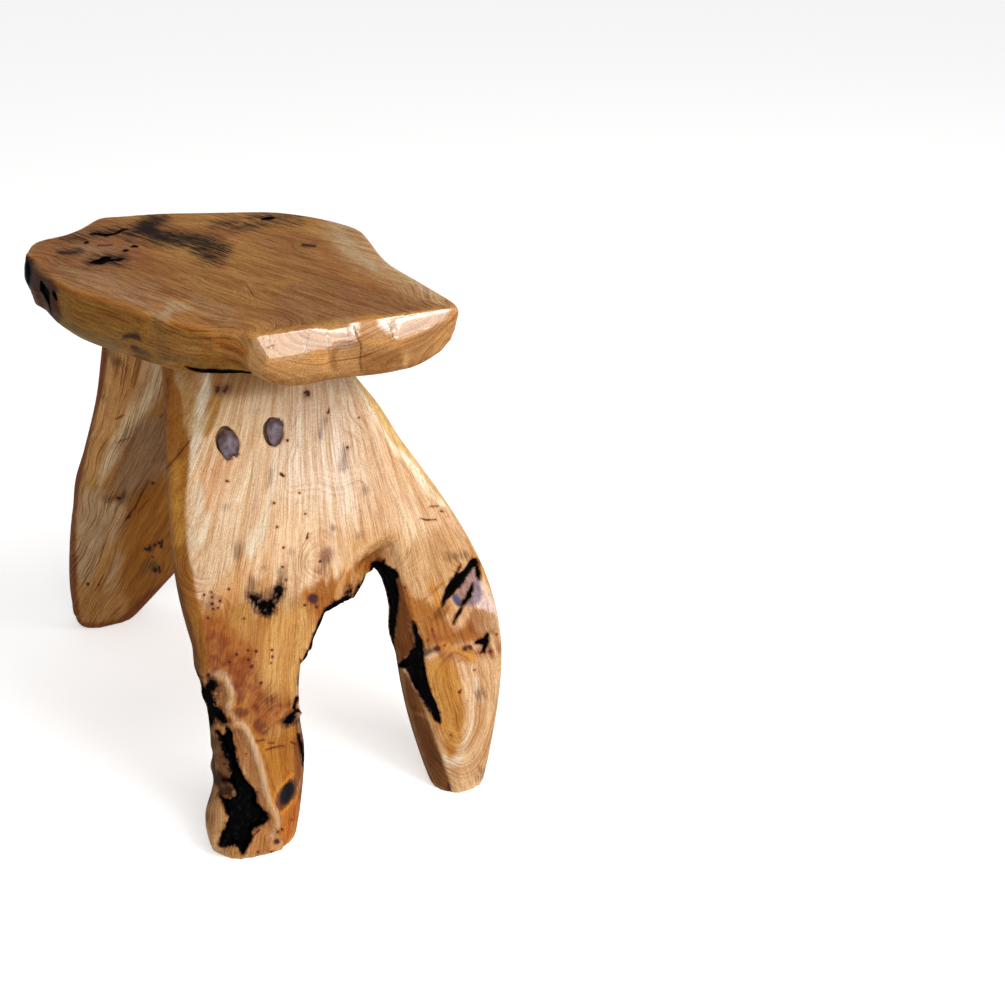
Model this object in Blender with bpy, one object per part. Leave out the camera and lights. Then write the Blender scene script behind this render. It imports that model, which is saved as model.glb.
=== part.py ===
# Live edge bench: a thick slab seat with its natural edge on two forked slab legs.
# The legs lean in under the seat, a round stretcher ties them together, and each leg
# is held to the seat by two hidden screws whose pockets are filled with plugs.
# Metres, +Z up, +X along the width of the legs, -Y towards the front leg.

import math

import bmesh
import bpy
from mathutils import Matrix, Vector

# Seat
SEAT_HEIGHT = 0.457          # floor to the top of the seat
SEAT_THICKNESS = 0.050
SEAT_LENGTH = 0.385          # front to back, between the ends of the rim
SEAT_WIDTH = 0.280           # side to side, between the sides of the rim
SEAT_ARRIS = 0.003           # softened corner round the flat top

# Both legs
LEG_THICKNESS = 0.050        # measured level, front to back
LEG_EDGE_ROUND = 0.015       # how far the rounding of the edges reaches into a face
LEG_EDGE_DEPTH = 0.013       # and how far it reaches round into the side
SEAT_TO_LEG_GAP = 0.0003

# Front leg, the one with the tall arch
FRONT_LEG_WIDTH = 0.280      # between the widest points of its two prongs
FRONT_LEG_SPREAD = 0.195     # stool centre to the outer face at the floor
FRONT_LEG_LEAN = 0.105       # how far that face comes in by the underside of the seat
FRONT_ARCH_RISE = 0.040      # the arch's right corner over its left one

# Rear leg, the one with the low arch
REAR_LEG_WIDTH = 0.280
REAR_LEG_SPREAD = 0.286
REAR_LEG_LEAN = 0.150
REAR_ARCH_RISE = 0.012

# Stretcher, a plain round bar in a blind socket in each leg
STRETCHER_DIAMETER = 0.037
STRETCHER_DROP = 0.1217      # from the top of the legs down to its centre line
STRETCHER_OFFSET = -0.012    # its centre line, off the stool's centre
STRETCHER_CHAMFER = 0.002
SOCKET_DEPTH = 0.022         # at the bar's centre line
SOCKET_CLEARANCE = 0.0003

# Screws, driven up from each leg's outer face into the seat
SCREW_LENGTH = 0.070
SCREW_DIAMETER = 0.0048
SCREW_ROOT_DIAMETER = 0.0034
SCREW_HEAD_DIAMETER = 0.0095
SCREW_HEAD_DEPTH = 0.0045
SCREW_POINT = 0.007
SCREW_THREAD_LENGTH = 0.045
SCREW_BITE = 0.033           # length of the screw in the seat
SCREW_TILT = math.radians(31)
SCREW_CLEARANCE = 0.0003

# Plugs of dark filler in the mouths of the screw pockets
PLUG_WIDTH = 0.016
PLUG_LENGTH = 0.023          # along the slope of the leg
PLUG_DEPTH = 0.013
PLUG_DROP = 0.0627           # from the top of the leg down to a plug's centre
PLUG_SPACING = 0.039
PLUG_SINK = 0.0022           # a plug's face lies this far below the flat of the leg
PLUG_CLEARANCE = 0.0003
FRONT_PLUGS_OFFSET = -0.0455 # middle of the pair, off the stool's centre
REAR_PLUGS_OFFSET = -0.0340

# One overrun takes every cut past the surface that it opens
CUT_OVERRUN = 0.020
LEG_OVERRUN = 0.030          # the legs are made this much longer, then cut level

# The rim of the seat, clockwise from above, starting at the front right:
# side and length as shares of the seat's width and length from the stool's centre,
# then bulge of the wall and undercut of the underside as shares of the thickness.
RIM_SHARES = [
    (0.336, -0.514, 0.00, 0.60),
    (0.250, -0.505, 0.08, 0.44),
    (0.157, -0.496, 0.18, 0.32),
    (0.029, -0.470, 0.24, 0.22),
    (-0.096, -0.475, 0.26, 0.26),
    (-0.190, -0.494, 0.06, 0.82),
    (-0.240, -0.452, 0.04, 0.92),
    (-0.293, -0.408, 0.06, 0.74),
    (-0.375, -0.322, 0.10, 0.52),
    (-0.432, -0.234, 0.12, 0.40),
    (-0.496, -0.132, 0.14, 0.36),
    (-0.546, -0.049, 0.14, 0.36),
    (-0.575, 0.034, 0.14, 0.38),
    (-0.589, 0.158, 0.12, 0.40),
    (-0.593, 0.270, 0.14, 0.40),
    (-0.554, 0.350, 0.16, 0.36),
    (-0.461, 0.380, 0.16, 0.32),
    (-0.393, 0.422, 0.16, 0.32),
    (-0.314, 0.492, 0.14, 0.34),
    (-0.246, 0.487, 0.14, 0.34),
    (-0.118, 0.470, 0.16, 0.30),
    (0.036, 0.424, 0.18, 0.28),
    (0.207, 0.370, 0.18, 0.30),
    (0.293, 0.308, 0.16, 0.34),
    (0.362, 0.224, 0.14, 0.36),
    (0.404, 0.127, 0.14, 0.36),
    (0.396, 0.052, 0.14, 0.36),
    (0.364, -0.078, 0.14, 0.36),
    (0.350, -0.180, 0.12, 0.40),
    (0.357, -0.290, 0.08, 0.46),
    (0.364, -0.400, 0.02, 0.56),
    (0.366, -0.478, 0.00, 0.62),
]
RIM_STEPS = 3                # smooth steps between two points of the rim

# The wall of the seat from its arris down: depth as a share of the thickness,
# then how much of the bulge and of the undercut the wall has there.
WALL_SHARES = [
    (0.30, 0.80, 0.00),
    (0.48, 1.00, 0.00),
    (0.70, 0.78, 0.14),
    (0.88, 0.35, 0.48),
    (1.00, 0.00, 1.00),
]

# Rows of a leg from the top down: height as a share of the leg's height, then the
# left side, the left and right edge of the arch and the right side as shares of the
# leg's width. Above the arch its two edges only divide the face.
FRONT_LEG_ROW_SHARES = [
    (0.900, -0.368, -0.220, 0.040, 0.190),
    (0.750, -0.394, -0.190, 0.110, 0.325),
    (0.610, -0.418, -0.130, 0.150, 0.442),
    (0.500, -0.416, -0.010, 0.206, 0.514),
    (0.405, -0.394, -0.085, 0.228, 0.556),
    (0.295, -0.388, -0.136, 0.222, 0.572),
    (0.185, -0.394, -0.126, 0.230, 0.540),
    (0.090, -0.478, -0.160, 0.252, 0.496),
]
FRONT_LEG_TOP_SHARES = (-0.335, -0.230, -0.020, 0.085)
FRONT_LEG_FOOT_SHARES = (-0.405, -0.230, 0.300, 0.405)
FRONT_ARCH_ROW = 3           # the row that the arch starts at

REAR_LEG_ROW_SHARES = [
    (0.860, -0.388, -0.190, 0.020, 0.165),
    (0.710, -0.412, -0.200, 0.050, 0.225),
    (0.560, -0.478, -0.190, 0.080, 0.290),
    (0.370, -0.533, -0.170, 0.100, 0.350),
    (0.210, -0.553, -0.080, 0.070, 0.400),
    (0.100, -0.560, -0.200, 0.150, 0.421),
]
REAR_LEG_TOP_SHARES = (-0.365, -0.200, 0.000, 0.120)
REAR_LEG_FOOT_SHARES = (-0.535, -0.420, 0.240, 0.390)
REAR_ARCH_ROW = 4

PRONG_ROUND_SHARE = 0.33     # of a prong's width, the most that its rounding takes

LEG_SMOOTHING = 2            # subdivision levels of the legs
STRETCHER_SIDES = 32
PLUG_SIDES = 24
SCREW_SIDES = 12
BORE_SIDES = 16

# What follows from the sizes
LEG_HEIGHT = SEAT_HEIGHT - SEAT_THICKNESS - SEAT_TO_LEG_GAP
STRETCHER_LEVEL = LEG_HEIGHT - STRETCHER_DROP
PLUG_LEVEL = LEG_HEIGHT - PLUG_DROP


def clear_scene():
    for old in list(bpy.data.objects):
        bpy.data.objects.remove(old, do_unlink=True)


def make_material(name, colour, roughness, metallic=0.0):
    material = bpy.data.materials.new(name)
    material.use_nodes = True
    shader = material.node_tree.nodes["Principled BSDF"]
    shader.inputs["Base Color"].default_value = (*colour, 1.0)
    shader.inputs["Roughness"].default_value = roughness
    shader.inputs["Metallic"].default_value = metallic
    material.diffuse_color = (*colour, 1.0)
    return material


def add_object(name, bm, material=None, smooth_angle=None):
    bmesh.ops.recalc_face_normals(bm, faces=bm.faces)
    mesh = bpy.data.meshes.new(name)
    bm.to_mesh(mesh)
    bm.free()
    if material:
        mesh.materials.append(material)
    if smooth_angle is not None:
        mesh.shade_smooth()
        mesh.set_sharp_from_angle(angle=smooth_angle)
    piece = bpy.data.objects.new(name, mesh)
    bpy.context.scene.collection.objects.link(piece)
    return piece


def cutter_group(name):
    group = bpy.data.collections.new(name)
    bpy.context.scene.collection.children.link(group)
    return group


def add_cutter(name, bm, group):
    cutter = add_object(name, bm)
    bpy.context.scene.collection.objects.unlink(cutter)
    group.objects.link(cutter)
    cutter.hide_render = True
    cutter.display_type = "WIRE"
    return cutter


def cut_away(piece, group):
    cut = piece.modifiers.new("cuts", "BOOLEAN")
    cut.operation = "DIFFERENCE"
    cut.solver = "EXACT"
    cut.operand_type = "COLLECTION"
    cut.collection = group


# A closed Catmull-Rom curve through rows of numbers.
def smooth_loop(rows, steps):
    count = len(rows)
    smooth = []
    for i in range(count):
        before, start, end, after = (rows[(i + k) % count] for k in (-1, 0, 1, 2))
        for step in range(steps):
            t = step / steps
            smooth.append([
                0.5 * (2 * b + (c - a) * t + (2 * a - 5 * b + 4 * c - d) * t ** 2
                       + (3 * b - a - 3 * c + d) * t ** 3)
                for a, b, c, d in zip(before, start, end, after)])
    return smooth


# The seat is a loft of rings that all follow the rim: a flat top, a softened arris,
# a wall that bulges in the middle and an underside that is cut back. The rings grow
# and shrink away from the middle of the rim, so none of them crosses itself.
def make_seat(material):
    rows = smooth_loop(RIM_SHARES, RIM_STEPS)
    rim = [Vector((row[0] * SEAT_WIDTH, row[1] * SEAT_LENGTH)) for row in rows]
    middle = sum(rim, Vector((0, 0))) / len(rim)
    outward = [(point - middle).normalized() for point in rim]
    bm = bmesh.new()

    def ring(height, offsets):
        return [bm.verts.new((*(p + n * offset), height))
                for p, n, offset in zip(rim, outward, offsets)]

    rings = [
        ring(SEAT_HEIGHT, [-SEAT_ARRIS] * len(rim)),
        ring(SEAT_HEIGHT - SEAT_ARRIS, [0.0] * len(rim)),
    ]
    for depth, bulge_part, undercut_part in WALL_SHARES:
        offsets = [(row[2] * bulge_part - row[3] * undercut_part) * SEAT_THICKNESS
                   for row in rows]
        rings.append(ring(SEAT_HEIGHT - depth * SEAT_THICKNESS, offsets))
    for upper, lower in zip(rings, rings[1:]):
        for i in range(len(rim)):
            bm.faces.new((upper[i - 1], upper[i], lower[i], lower[i - 1]))
    bm.faces.new(rings[0])
    bm.faces.new(reversed(rings[-1]))
    return add_object("seat", bm, material, math.radians(40))


# Y of a point of a leg at a height over the floor and a depth below its outer face.
def leg_y(outward, spread, lean, height, depth):
    return outward * (spread - lean * height / LEG_HEIGHT - depth)


# A forked leg is a cage of rows that subdivision rounds off. Each row has four
# columns on the outer and the inner face, and two rings of points run round the
# whole outline between the faces. Under the arch row the two middle columns part,
# and the cage goes on as two prongs. The ends run past the floor and the seat, to
# be cut.
def make_leg(name, material, outward, spread, lean, width, rows, top, foot, arch_row, arch_rise):
    levels = [LEG_HEIGHT + LEG_OVERRUN, *(row[0] * LEG_HEIGHT for row in rows), -LEG_OVERRUN]
    sides = [[share * width for share in shares]
             for shares in (top, *(row[1:] for row in rows), foot)]
    arch = arch_row + 1
    last = len(levels) - 1
    bm = bmesh.new()

    def vertex(x, z, depth):
        return bm.verts.new((x, leg_y(outward, spread, lean, z, depth), z))

    def edge_round(row, column):
        if row < arch:
            return LEG_EDGE_ROUND
        near = column // 2 * 2
        prong = sides[row][near + 1] - sides[row][near]
        return min(LEG_EDGE_ROUND, prong * PRONG_ROUND_SHARE)

    def face_point(row, column):
        x, z = sides[row][column], levels[row]
        inward = (1, -1, 1, -1)[column] * edge_round(row, column)
        if column in (0, 3) or row >= arch:
            x += inward
        if row == arch:
            z += arch_rise * (column - 1.5) / 3
            if column in (1, 2):
                z += LEG_EDGE_ROUND
                x -= inward / 2
        return x, z

    # Subdivision draws a side in by a fifth of its rounding, so it starts outside.
    def side_point(row, column):
        x, z = sides[row][column], levels[row]
        if row == arch and column in (1, 2):
            z += arch_rise * (column - 1.5)
        if column in (0, 3) or row >= arch:
            x -= (1, -1, 1, -1)[column] * edge_round(row, column) / 5
        return x, z

    outline = [(0, 0), (0, 1), (0, 2), (0, 3)]
    outline += [(row, 3) for row in range(1, last + 1)]
    outline += [(row, 2) for row in range(last, arch - 1, -1)]
    outline += [(row, 1) for row in range(arch, last + 1)]
    outline += [(row, 0) for row in range(last, 0, -1)]

    faces = []
    for depth in (0.0, LEG_THICKNESS):
        faces.append({(row, column): vertex(*face_point(row, column), depth)
                      for row in range(last + 1) for column in range(4)})
    side_rings = [{key: vertex(*side_point(*key), depth) for key in outline}
                  for depth in (LEG_EDGE_DEPTH, LEG_THICKNESS - LEG_EDGE_DEPTH)]

    for grid in faces:
        for row in range(last):
            for column in (0, 1, 2):
                if column == 1 and row >= arch:
                    continue
                corners = ((row, column), (row, column + 1),
                           (row + 1, column + 1), (row + 1, column))
                bm.faces.new([grid[key] for key in corners])
    rings = [faces[0], *side_rings, faces[1]]
    for ring, after_ring in zip(rings, rings[1:]):
        for key, after in zip(outline, outline[1:] + outline[:1]):
            bm.faces.new((ring[key], ring[after], after_ring[after], after_ring[key]))
    leg = add_object(name, bm, material)
    leg.data.shade_smooth()
    rounding = leg.modifiers.new("rounding", "SUBSURF")
    rounding.levels = LEG_SMOOTHING
    rounding.render_levels = LEG_SMOOTHING
    return leg


def box_between(low, high):
    bm = bmesh.new()
    size = [b - a for a, b in zip(low, high)]
    middle = [(a + b) / 2 for a, b in zip(low, high)]
    bmesh.ops.create_cube(bm, size=1.0, matrix=Matrix.Translation(middle) @ Matrix.Diagonal((*size, 1)))
    return bm


# A bar of one radius from one point to another.
def rod_between(start, end, radius, sides):
    bm = bmesh.new()
    along = end - start
    turn = along.to_track_quat("Z", "Y").to_matrix().to_4x4()
    bmesh.ops.create_cone(
        bm, cap_ends=True, segments=sides, radius1=radius, radius2=radius,
        depth=along.length, matrix=Matrix.Translation((start + end) / 2) @ turn)
    return bm


# A solid of revolution about +Z from its profile of radius and height.
def turned(profile, sides):
    bm = bmesh.new()
    rings = [[bm.verts.new((radius * math.cos(math.tau * i / sides),
                            radius * math.sin(math.tau * i / sides), height))
              for i in range(sides)] for radius, height in profile]
    for lower, upper in zip(rings, rings[1:]):
        for i in range(sides):
            bm.faces.new((lower[i - 1], lower[i], upper[i], upper[i - 1]))
    bm.faces.new(reversed(rings[0]))
    bm.faces.new(rings[-1])
    return bm


# The frame of one screw and its plug on a leg, from the leg's own sizes.
class Fixing:
    def __init__(self, outward, spread, lean, x):
        self.up_slope = Vector((0, -outward * lean, LEG_HEIGHT)).normalized()
        self.face_out = Vector((0, outward * LEG_HEIGHT, lean)).normalized()
        self.mouth = Vector((x, leg_y(outward, spread, lean, PLUG_LEVEL, 0.0), PLUG_LEVEL))
        self.axis = Vector((0, -outward * math.sin(SCREW_TILT), math.cos(SCREW_TILT)))
        top_y = leg_y(outward, spread, lean, LEG_HEIGHT, LEG_THICKNESS / 2)
        leg_top = Vector((x, top_y, LEG_HEIGHT))
        self.tip = leg_top + self.axis * SCREW_BITE
        self.head = self.tip - self.axis * SCREW_LENGTH
        back = (self.head.z - PLUG_LEVEL) / self.axis.z
        self.pocket_end = self.head - self.axis * back


# An oval post on a leg's face, from one depth below the face to another.
def oval_post(fixing, shallow, deep, growth):
    bm = bmesh.new()
    matrix = Matrix.Identity(4)
    matrix.col[0].xyz = Vector((1, 0, 0)) * (PLUG_WIDTH / 2 + growth)
    matrix.col[1].xyz = fixing.up_slope * (PLUG_LENGTH / 2 + growth)
    matrix.col[2].xyz = fixing.face_out * (deep - shallow)
    matrix.translation = fixing.mouth - fixing.face_out * (shallow + deep) / 2
    bmesh.ops.create_cone(bm, cap_ends=True, segments=PLUG_SIDES,
                          radius1=1.0, radius2=1.0, depth=1.0, matrix=matrix)
    return bm


def make_plug(name, fixing, material):
    bm = oval_post(fixing, PLUG_SINK, PLUG_DEPTH, 0.0)
    return add_object(name, bm, material, math.radians(40))


def make_screw(name, fixing, material):
    shank, root = SCREW_DIAMETER / 2, SCREW_ROOT_DIAMETER / 2
    head = SCREW_HEAD_DIAMETER / 2
    thread_start = SCREW_LENGTH - SCREW_THREAD_LENGTH
    profile = [
        (head, 0.0),
        (head, SCREW_HEAD_DEPTH / 5),
        (root, SCREW_HEAD_DEPTH),
        (root, thread_start),
        (shank, thread_start + shank - root),
        (shank, SCREW_LENGTH - SCREW_POINT),
        (root / 5, SCREW_LENGTH),
    ]
    screw = add_object(name, turned(profile, SCREW_SIDES), material, math.radians(40))
    screw.location = fixing.head
    screw.rotation_mode = "QUATERNION"
    screw.rotation_quaternion = fixing.axis.to_track_quat("Z", "Y")
    return screw


def cut_fixing(name, fixing, leg_cuts, seat_cuts):
    pocket = oval_post(fixing, -CUT_OVERRUN, PLUG_DEPTH + PLUG_CLEARANCE, PLUG_CLEARANCE)
    add_cutter(name + "_pocket", pocket, leg_cuts)
    head_radius = SCREW_HEAD_DIAMETER / 2 + SCREW_CLEARANCE
    head_end = fixing.head + fixing.axis * (SCREW_HEAD_DEPTH + SCREW_CLEARANCE)
    counterbore = rod_between(fixing.pocket_end, head_end, head_radius, BORE_SIDES)
    add_cutter(name + "_counterbore", counterbore, leg_cuts)
    radius = SCREW_DIAMETER / 2 + SCREW_CLEARANCE
    end = fixing.tip + fixing.axis * SCREW_CLEARANCE
    for cuts in (leg_cuts, seat_cuts):
        add_cutter(name + "_pilot", rod_between(fixing.head, end, radius, BORE_SIDES), cuts)


def stretcher_end(outward, spread, lean):
    inner = leg_y(outward, spread, lean, STRETCHER_LEVEL, LEG_THICKNESS)
    return inner + outward * SOCKET_DEPTH


def make_stretcher(material):
    front = stretcher_end(-1, FRONT_LEG_SPREAD, FRONT_LEG_LEAN)
    rear = stretcher_end(1, REAR_LEG_SPREAD, REAR_LEG_LEAN)
    radius, chamfer, length = STRETCHER_DIAMETER / 2, STRETCHER_CHAMFER, rear - front
    profile = [(radius - chamfer, 0.0), (radius, chamfer),
               (radius, length - chamfer), (radius - chamfer, length)]
    bar = add_object("stretcher", turned(profile, STRETCHER_SIDES), material, math.radians(40))
    bar.location = (STRETCHER_OFFSET, front, STRETCHER_LEVEL)
    bar.rotation_euler = (-math.pi / 2, 0, 0)
    return bar


def cut_socket(name, outward, spread, lean, leg_cuts):
    end = stretcher_end(outward, spread, lean) + outward * SOCKET_CLEARANCE
    start = end - outward * (SOCKET_DEPTH + LEG_THICKNESS)
    socket = rod_between(Vector((STRETCHER_OFFSET, start, STRETCHER_LEVEL)),
                         Vector((STRETCHER_OFFSET, end, STRETCHER_LEVEL)),
                         STRETCHER_DIAMETER / 2 + SOCKET_CLEARANCE, STRETCHER_SIDES)
    add_cutter(name + "_socket", socket, leg_cuts)


# Cuts a leg level at the floor and under the seat.
def cut_ends(name, leg_cuts):
    reach = SEAT_LENGTH + SEAT_WIDTH
    depth = LEG_OVERRUN + CUT_OVERRUN
    floor = box_between((-reach, -reach, -depth), (reach, reach, 0.0))
    add_cutter(name + "_floor_cut", floor, leg_cuts)
    top = box_between((-reach, -reach, LEG_HEIGHT), (reach, reach, LEG_HEIGHT + depth))
    add_cutter(name + "_top_cut", top, leg_cuts)


# Moves the stool so that the middle of its footprint box is over the origin.
def centre_on_floor(holder, pieces):
    bpy.context.view_layer.update()
    seen = bpy.context.evaluated_depsgraph_get()
    corners = []
    for piece in pieces:
        shown = piece.evaluated_get(seen)
        corners += [shown.matrix_world @ v.co for v in shown.data.vertices]
    for axis in (0, 1):
        values = [corner[axis] for corner in corners]
        holder.location[axis] = -(min(values) + max(values)) / 2
    bpy.context.view_layer.update()


def main():
    clear_scene()
    seat_wood = make_material("seat_wood", (0.36, 0.17, 0.06), 0.22)
    front_wood = make_material("front_leg_wood", (0.62, 0.38, 0.16), 0.25)
    rear_wood = make_material("rear_leg_wood", (0.45, 0.25, 0.10), 0.25)
    bar_wood = make_material("stretcher_wood", (0.66, 0.42, 0.19), 0.30)
    filler = make_material("plug_filler", (0.07, 0.03, 0.03), 0.30)
    steel = make_material("screw_steel", (0.55, 0.55, 0.52), 0.35, 1.0)

    seat = make_seat(seat_wood)
    seat_cuts = cutter_group("seat_cuts")
    front = (-1, FRONT_LEG_SPREAD, FRONT_LEG_LEAN)
    rear = (1, REAR_LEG_SPREAD, REAR_LEG_LEAN)
    front_leg = make_leg("front_leg", front_wood, *front, FRONT_LEG_WIDTH, FRONT_LEG_ROW_SHARES,
                         FRONT_LEG_TOP_SHARES, FRONT_LEG_FOOT_SHARES,
                         FRONT_ARCH_ROW, FRONT_ARCH_RISE)
    rear_leg = make_leg("rear_leg", rear_wood, *rear, REAR_LEG_WIDTH, REAR_LEG_ROW_SHARES,
                        REAR_LEG_TOP_SHARES, REAR_LEG_FOOT_SHARES,
                        REAR_ARCH_ROW, REAR_ARCH_RISE)
    pieces = [seat, front_leg, rear_leg, make_stretcher(bar_wood)]

    legs = (("front", front_leg, front, FRONT_PLUGS_OFFSET),
            ("rear", rear_leg, rear, REAR_PLUGS_OFFSET))
    for end, leg, placing, plugs_offset in legs:
        cuts = cutter_group(end + "_leg_cuts")
        for side, sign in (("left", -1), ("right", 1)):
            fixing = Fixing(*placing, plugs_offset + sign * PLUG_SPACING / 2)
            pieces.append(make_plug(f"{end}_plug_{side}", fixing, filler))
            pieces.append(make_screw(f"{end}_screw_{side}", fixing, steel))
            cut_fixing(f"{end}_{side}", fixing, cuts, seat_cuts)
        cut_socket(end, *placing, cuts)
        cut_ends(end, cuts)
        cut_away(leg, cuts)
    cut_away(seat, seat_cuts)

    holder = bpy.data.objects.new("stool", None)
    bpy.context.scene.collection.objects.link(holder)
    cutters = [o for group in bpy.data.collections for o in group.objects]
    for child in pieces + cutters:
        child.parent = holder
    centre_on_floor(holder, pieces)
    print("stool moved by", [round(v, 5) for v in holder.location])


main()
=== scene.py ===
import math

import bmesh
import bpy
import numpy as np
from mathutils import Euler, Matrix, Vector
from mathutils.bvhtree import BVHTree


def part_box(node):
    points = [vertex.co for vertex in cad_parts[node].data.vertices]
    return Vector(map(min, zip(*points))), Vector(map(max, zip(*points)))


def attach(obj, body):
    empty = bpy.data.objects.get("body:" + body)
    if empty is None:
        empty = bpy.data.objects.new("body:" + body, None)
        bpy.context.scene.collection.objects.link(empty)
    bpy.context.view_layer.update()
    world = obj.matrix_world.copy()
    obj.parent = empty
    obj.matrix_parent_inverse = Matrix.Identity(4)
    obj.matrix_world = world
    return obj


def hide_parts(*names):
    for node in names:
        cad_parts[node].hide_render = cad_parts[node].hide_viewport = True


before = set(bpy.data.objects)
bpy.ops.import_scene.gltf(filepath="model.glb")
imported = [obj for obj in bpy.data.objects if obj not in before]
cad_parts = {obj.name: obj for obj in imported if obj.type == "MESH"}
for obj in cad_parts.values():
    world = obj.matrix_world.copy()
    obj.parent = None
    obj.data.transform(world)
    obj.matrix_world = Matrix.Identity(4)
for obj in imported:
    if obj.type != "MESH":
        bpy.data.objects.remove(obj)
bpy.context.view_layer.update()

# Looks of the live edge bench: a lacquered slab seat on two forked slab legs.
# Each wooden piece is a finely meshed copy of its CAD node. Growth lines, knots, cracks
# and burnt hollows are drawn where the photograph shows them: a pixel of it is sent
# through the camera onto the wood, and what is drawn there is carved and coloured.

mm = 0.001

# Camera: where the photograph was taken from, and the frame that its pixels are read in

cameraValues = {
    "place": (-0.3195, -1.1550, 0.7962),
    "tiltDegrees": 63.5,
    "turnDegrees": -26.7,
    "lens": 50.0,
    "sensor": 36.0,
    "imageSize": 1005,
}


def makeCamera(values):
    data = bpy.data.cameras.new("camera")
    data.lens = values["lens"]
    data.sensor_width = values["sensor"]
    camera = bpy.data.objects.new("camera", data)
    camera.location = values["place"]
    camera.rotation_euler = Euler((math.radians(values["tiltDegrees"]), 0,
                                   math.radians(values["turnDegrees"])))
    bpy.context.scene.collection.objects.link(camera)
    bpy.context.scene.camera = camera
    bpy.context.view_layer.update()
    return camera


camera = makeCamera(cameraValues)
print("camera in place")


# The direction in which the camera sees a pixel, one lens length deep.
def pixelRay(x, y):
    half = cameraValues["imageSize"] / 2
    pixel = cameraValues["sensor"] / cameraValues["imageSize"]
    ray = Vector(((x - half) * pixel, (half - y) * pixel, -cameraValues["lens"]))
    return camera.matrix_world.to_3x3() @ ray


# Where the camera sees points, in pixels of the photograph.
def pixelsOf(points):
    half = cameraValues["imageSize"] / 2
    pixel = cameraValues["sensor"] / cameraValues["imageSize"]
    seen = (points - np.array(camera.location)) @ np.array(camera.matrix_world.to_3x3())
    scale = cameraValues["lens"] / pixel / -seen[:, 2]
    return np.stack([half + seen[:, 0] * scale, half - seen[:, 1] * scale], axis=1)


# Small helpers for meshes

def newPiece(name, bm):
    mesh = bpy.data.meshes.new(name)
    bm.to_mesh(mesh)
    bm.free()
    piece = bpy.data.objects.new(name, mesh)
    bpy.context.scene.collection.objects.link(piece)
    return piece


def applyModifiers(piece):
    seen = piece.evaluated_get(bpy.context.evaluated_depsgraph_get())
    mesh = bpy.data.meshes.new_from_object(seen)
    piece.modifiers.clear()
    piece.data = mesh


# Smooth noise from -1 to 1 whose lumps have the given size.
def softNoise(points, size, seed):
    lattice = np.random.default_rng(seed).uniform(-1, 1, (32, 32, 32))
    cells = points / size
    low = np.floor(cells).astype(int)
    part = cells - low
    part = part * part * (3 - 2 * part)
    total = np.zeros(len(points))
    for corner in np.ndindex(2, 2, 2):
        weight = np.ones(len(points))
        for axis in range(3):
            weight *= part[:, axis] if corner[axis] else 1 - part[:, axis]
        index = (low + corner) % 32
        total += weight * lattice[index[:, 0], index[:, 1], index[:, 2]]
    return total


def smoothStep(low, high, values):
    t = np.clip((values - low) / (high - low), 0, 1)
    return t * t * (3 - 2 * t)


# A shape drawn over the photograph, in its pixels, is either an outline of (x, y)
# corners or a brush stroke of (x, y, radius). Both are rounded off between their points.
def rounded(points, closed):
    points = np.array(points, float)
    if len(points) < 3:
        return points
    count = len(points)
    places = []
    for i in range(count if closed else count - 1):
        if closed:
            a, b, c, d = (points[(i + k) % count] for k in (-1, 0, 1, 2))
        else:
            a, b, c, d = (points[min(max(i + k, 0), count - 1)] for k in (-1, 0, 1, 2))
        for t in (0.0, 1 / 3, 2 / 3):
            places.append(0.5 * (2 * b + (c - a) * t + (2 * a - 5 * b + 4 * c - d) * t ** 2
                                 + (3 * b - a - 3 * c + d) * t ** 3))
    if not closed:
        places.append(points[-1])
    return np.array(places)


# The distance of each pixel inside the shape, negative outside, in pixels. Far away it
# isn't worked out.
def shapeField(pixels, shape, far=70.0):
    reach = np.array([corner[:2] for corner in shape], float)
    room = far + max([0.0] + [corner[2] for corner in shape if len(corner) > 2])
    near = ((pixels > reach.min(axis=0) - room) & (pixels < reach.max(axis=0) + room)).all(axis=1)
    field = np.full(len(pixels), -far)
    field[near] = np.maximum(nearField(pixels[near], shape), -far)
    return field


def nearField(pixels, shape):
    closed = len(shape[0]) == 2
    if closed:
        corners = rounded(shape, True)
        ends = np.roll(corners, -1, axis=0)
    else:
        corners = rounded(shape, False)
        corners = np.vstack([corners, corners]) if len(corners) == 1 else corners
        corners, ends = corners[:-1], corners[1:]
    x, y = pixels[:, 0], pixels[:, 1]
    inside = np.zeros(len(pixels), bool)
    field = np.full(len(pixels), -1e9)
    for start, end in zip(corners, ends):
        way = end[:2] - start[:2]
        t = ((x - start[0]) * way[0] + (y - start[1]) * way[1]) / max(way @ way, 1e-9)
        t = np.clip(t, 0, 1)
        away = np.hypot(x - start[0] - t * way[0], y - start[1] - t * way[1])
        if closed:
            field = np.maximum(field, -away)
            if start[1] != end[1]:
                crossing = start[0] + (y - start[1]) * way[0] / way[1]
                inside ^= ((start[1] > y) != (end[1] > y)) & (x < crossing)
        else:
            field = np.maximum(field, start[2] + t * (end[2] - start[2]) - away)
    return np.where(inside, -field, field) if closed else field


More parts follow.
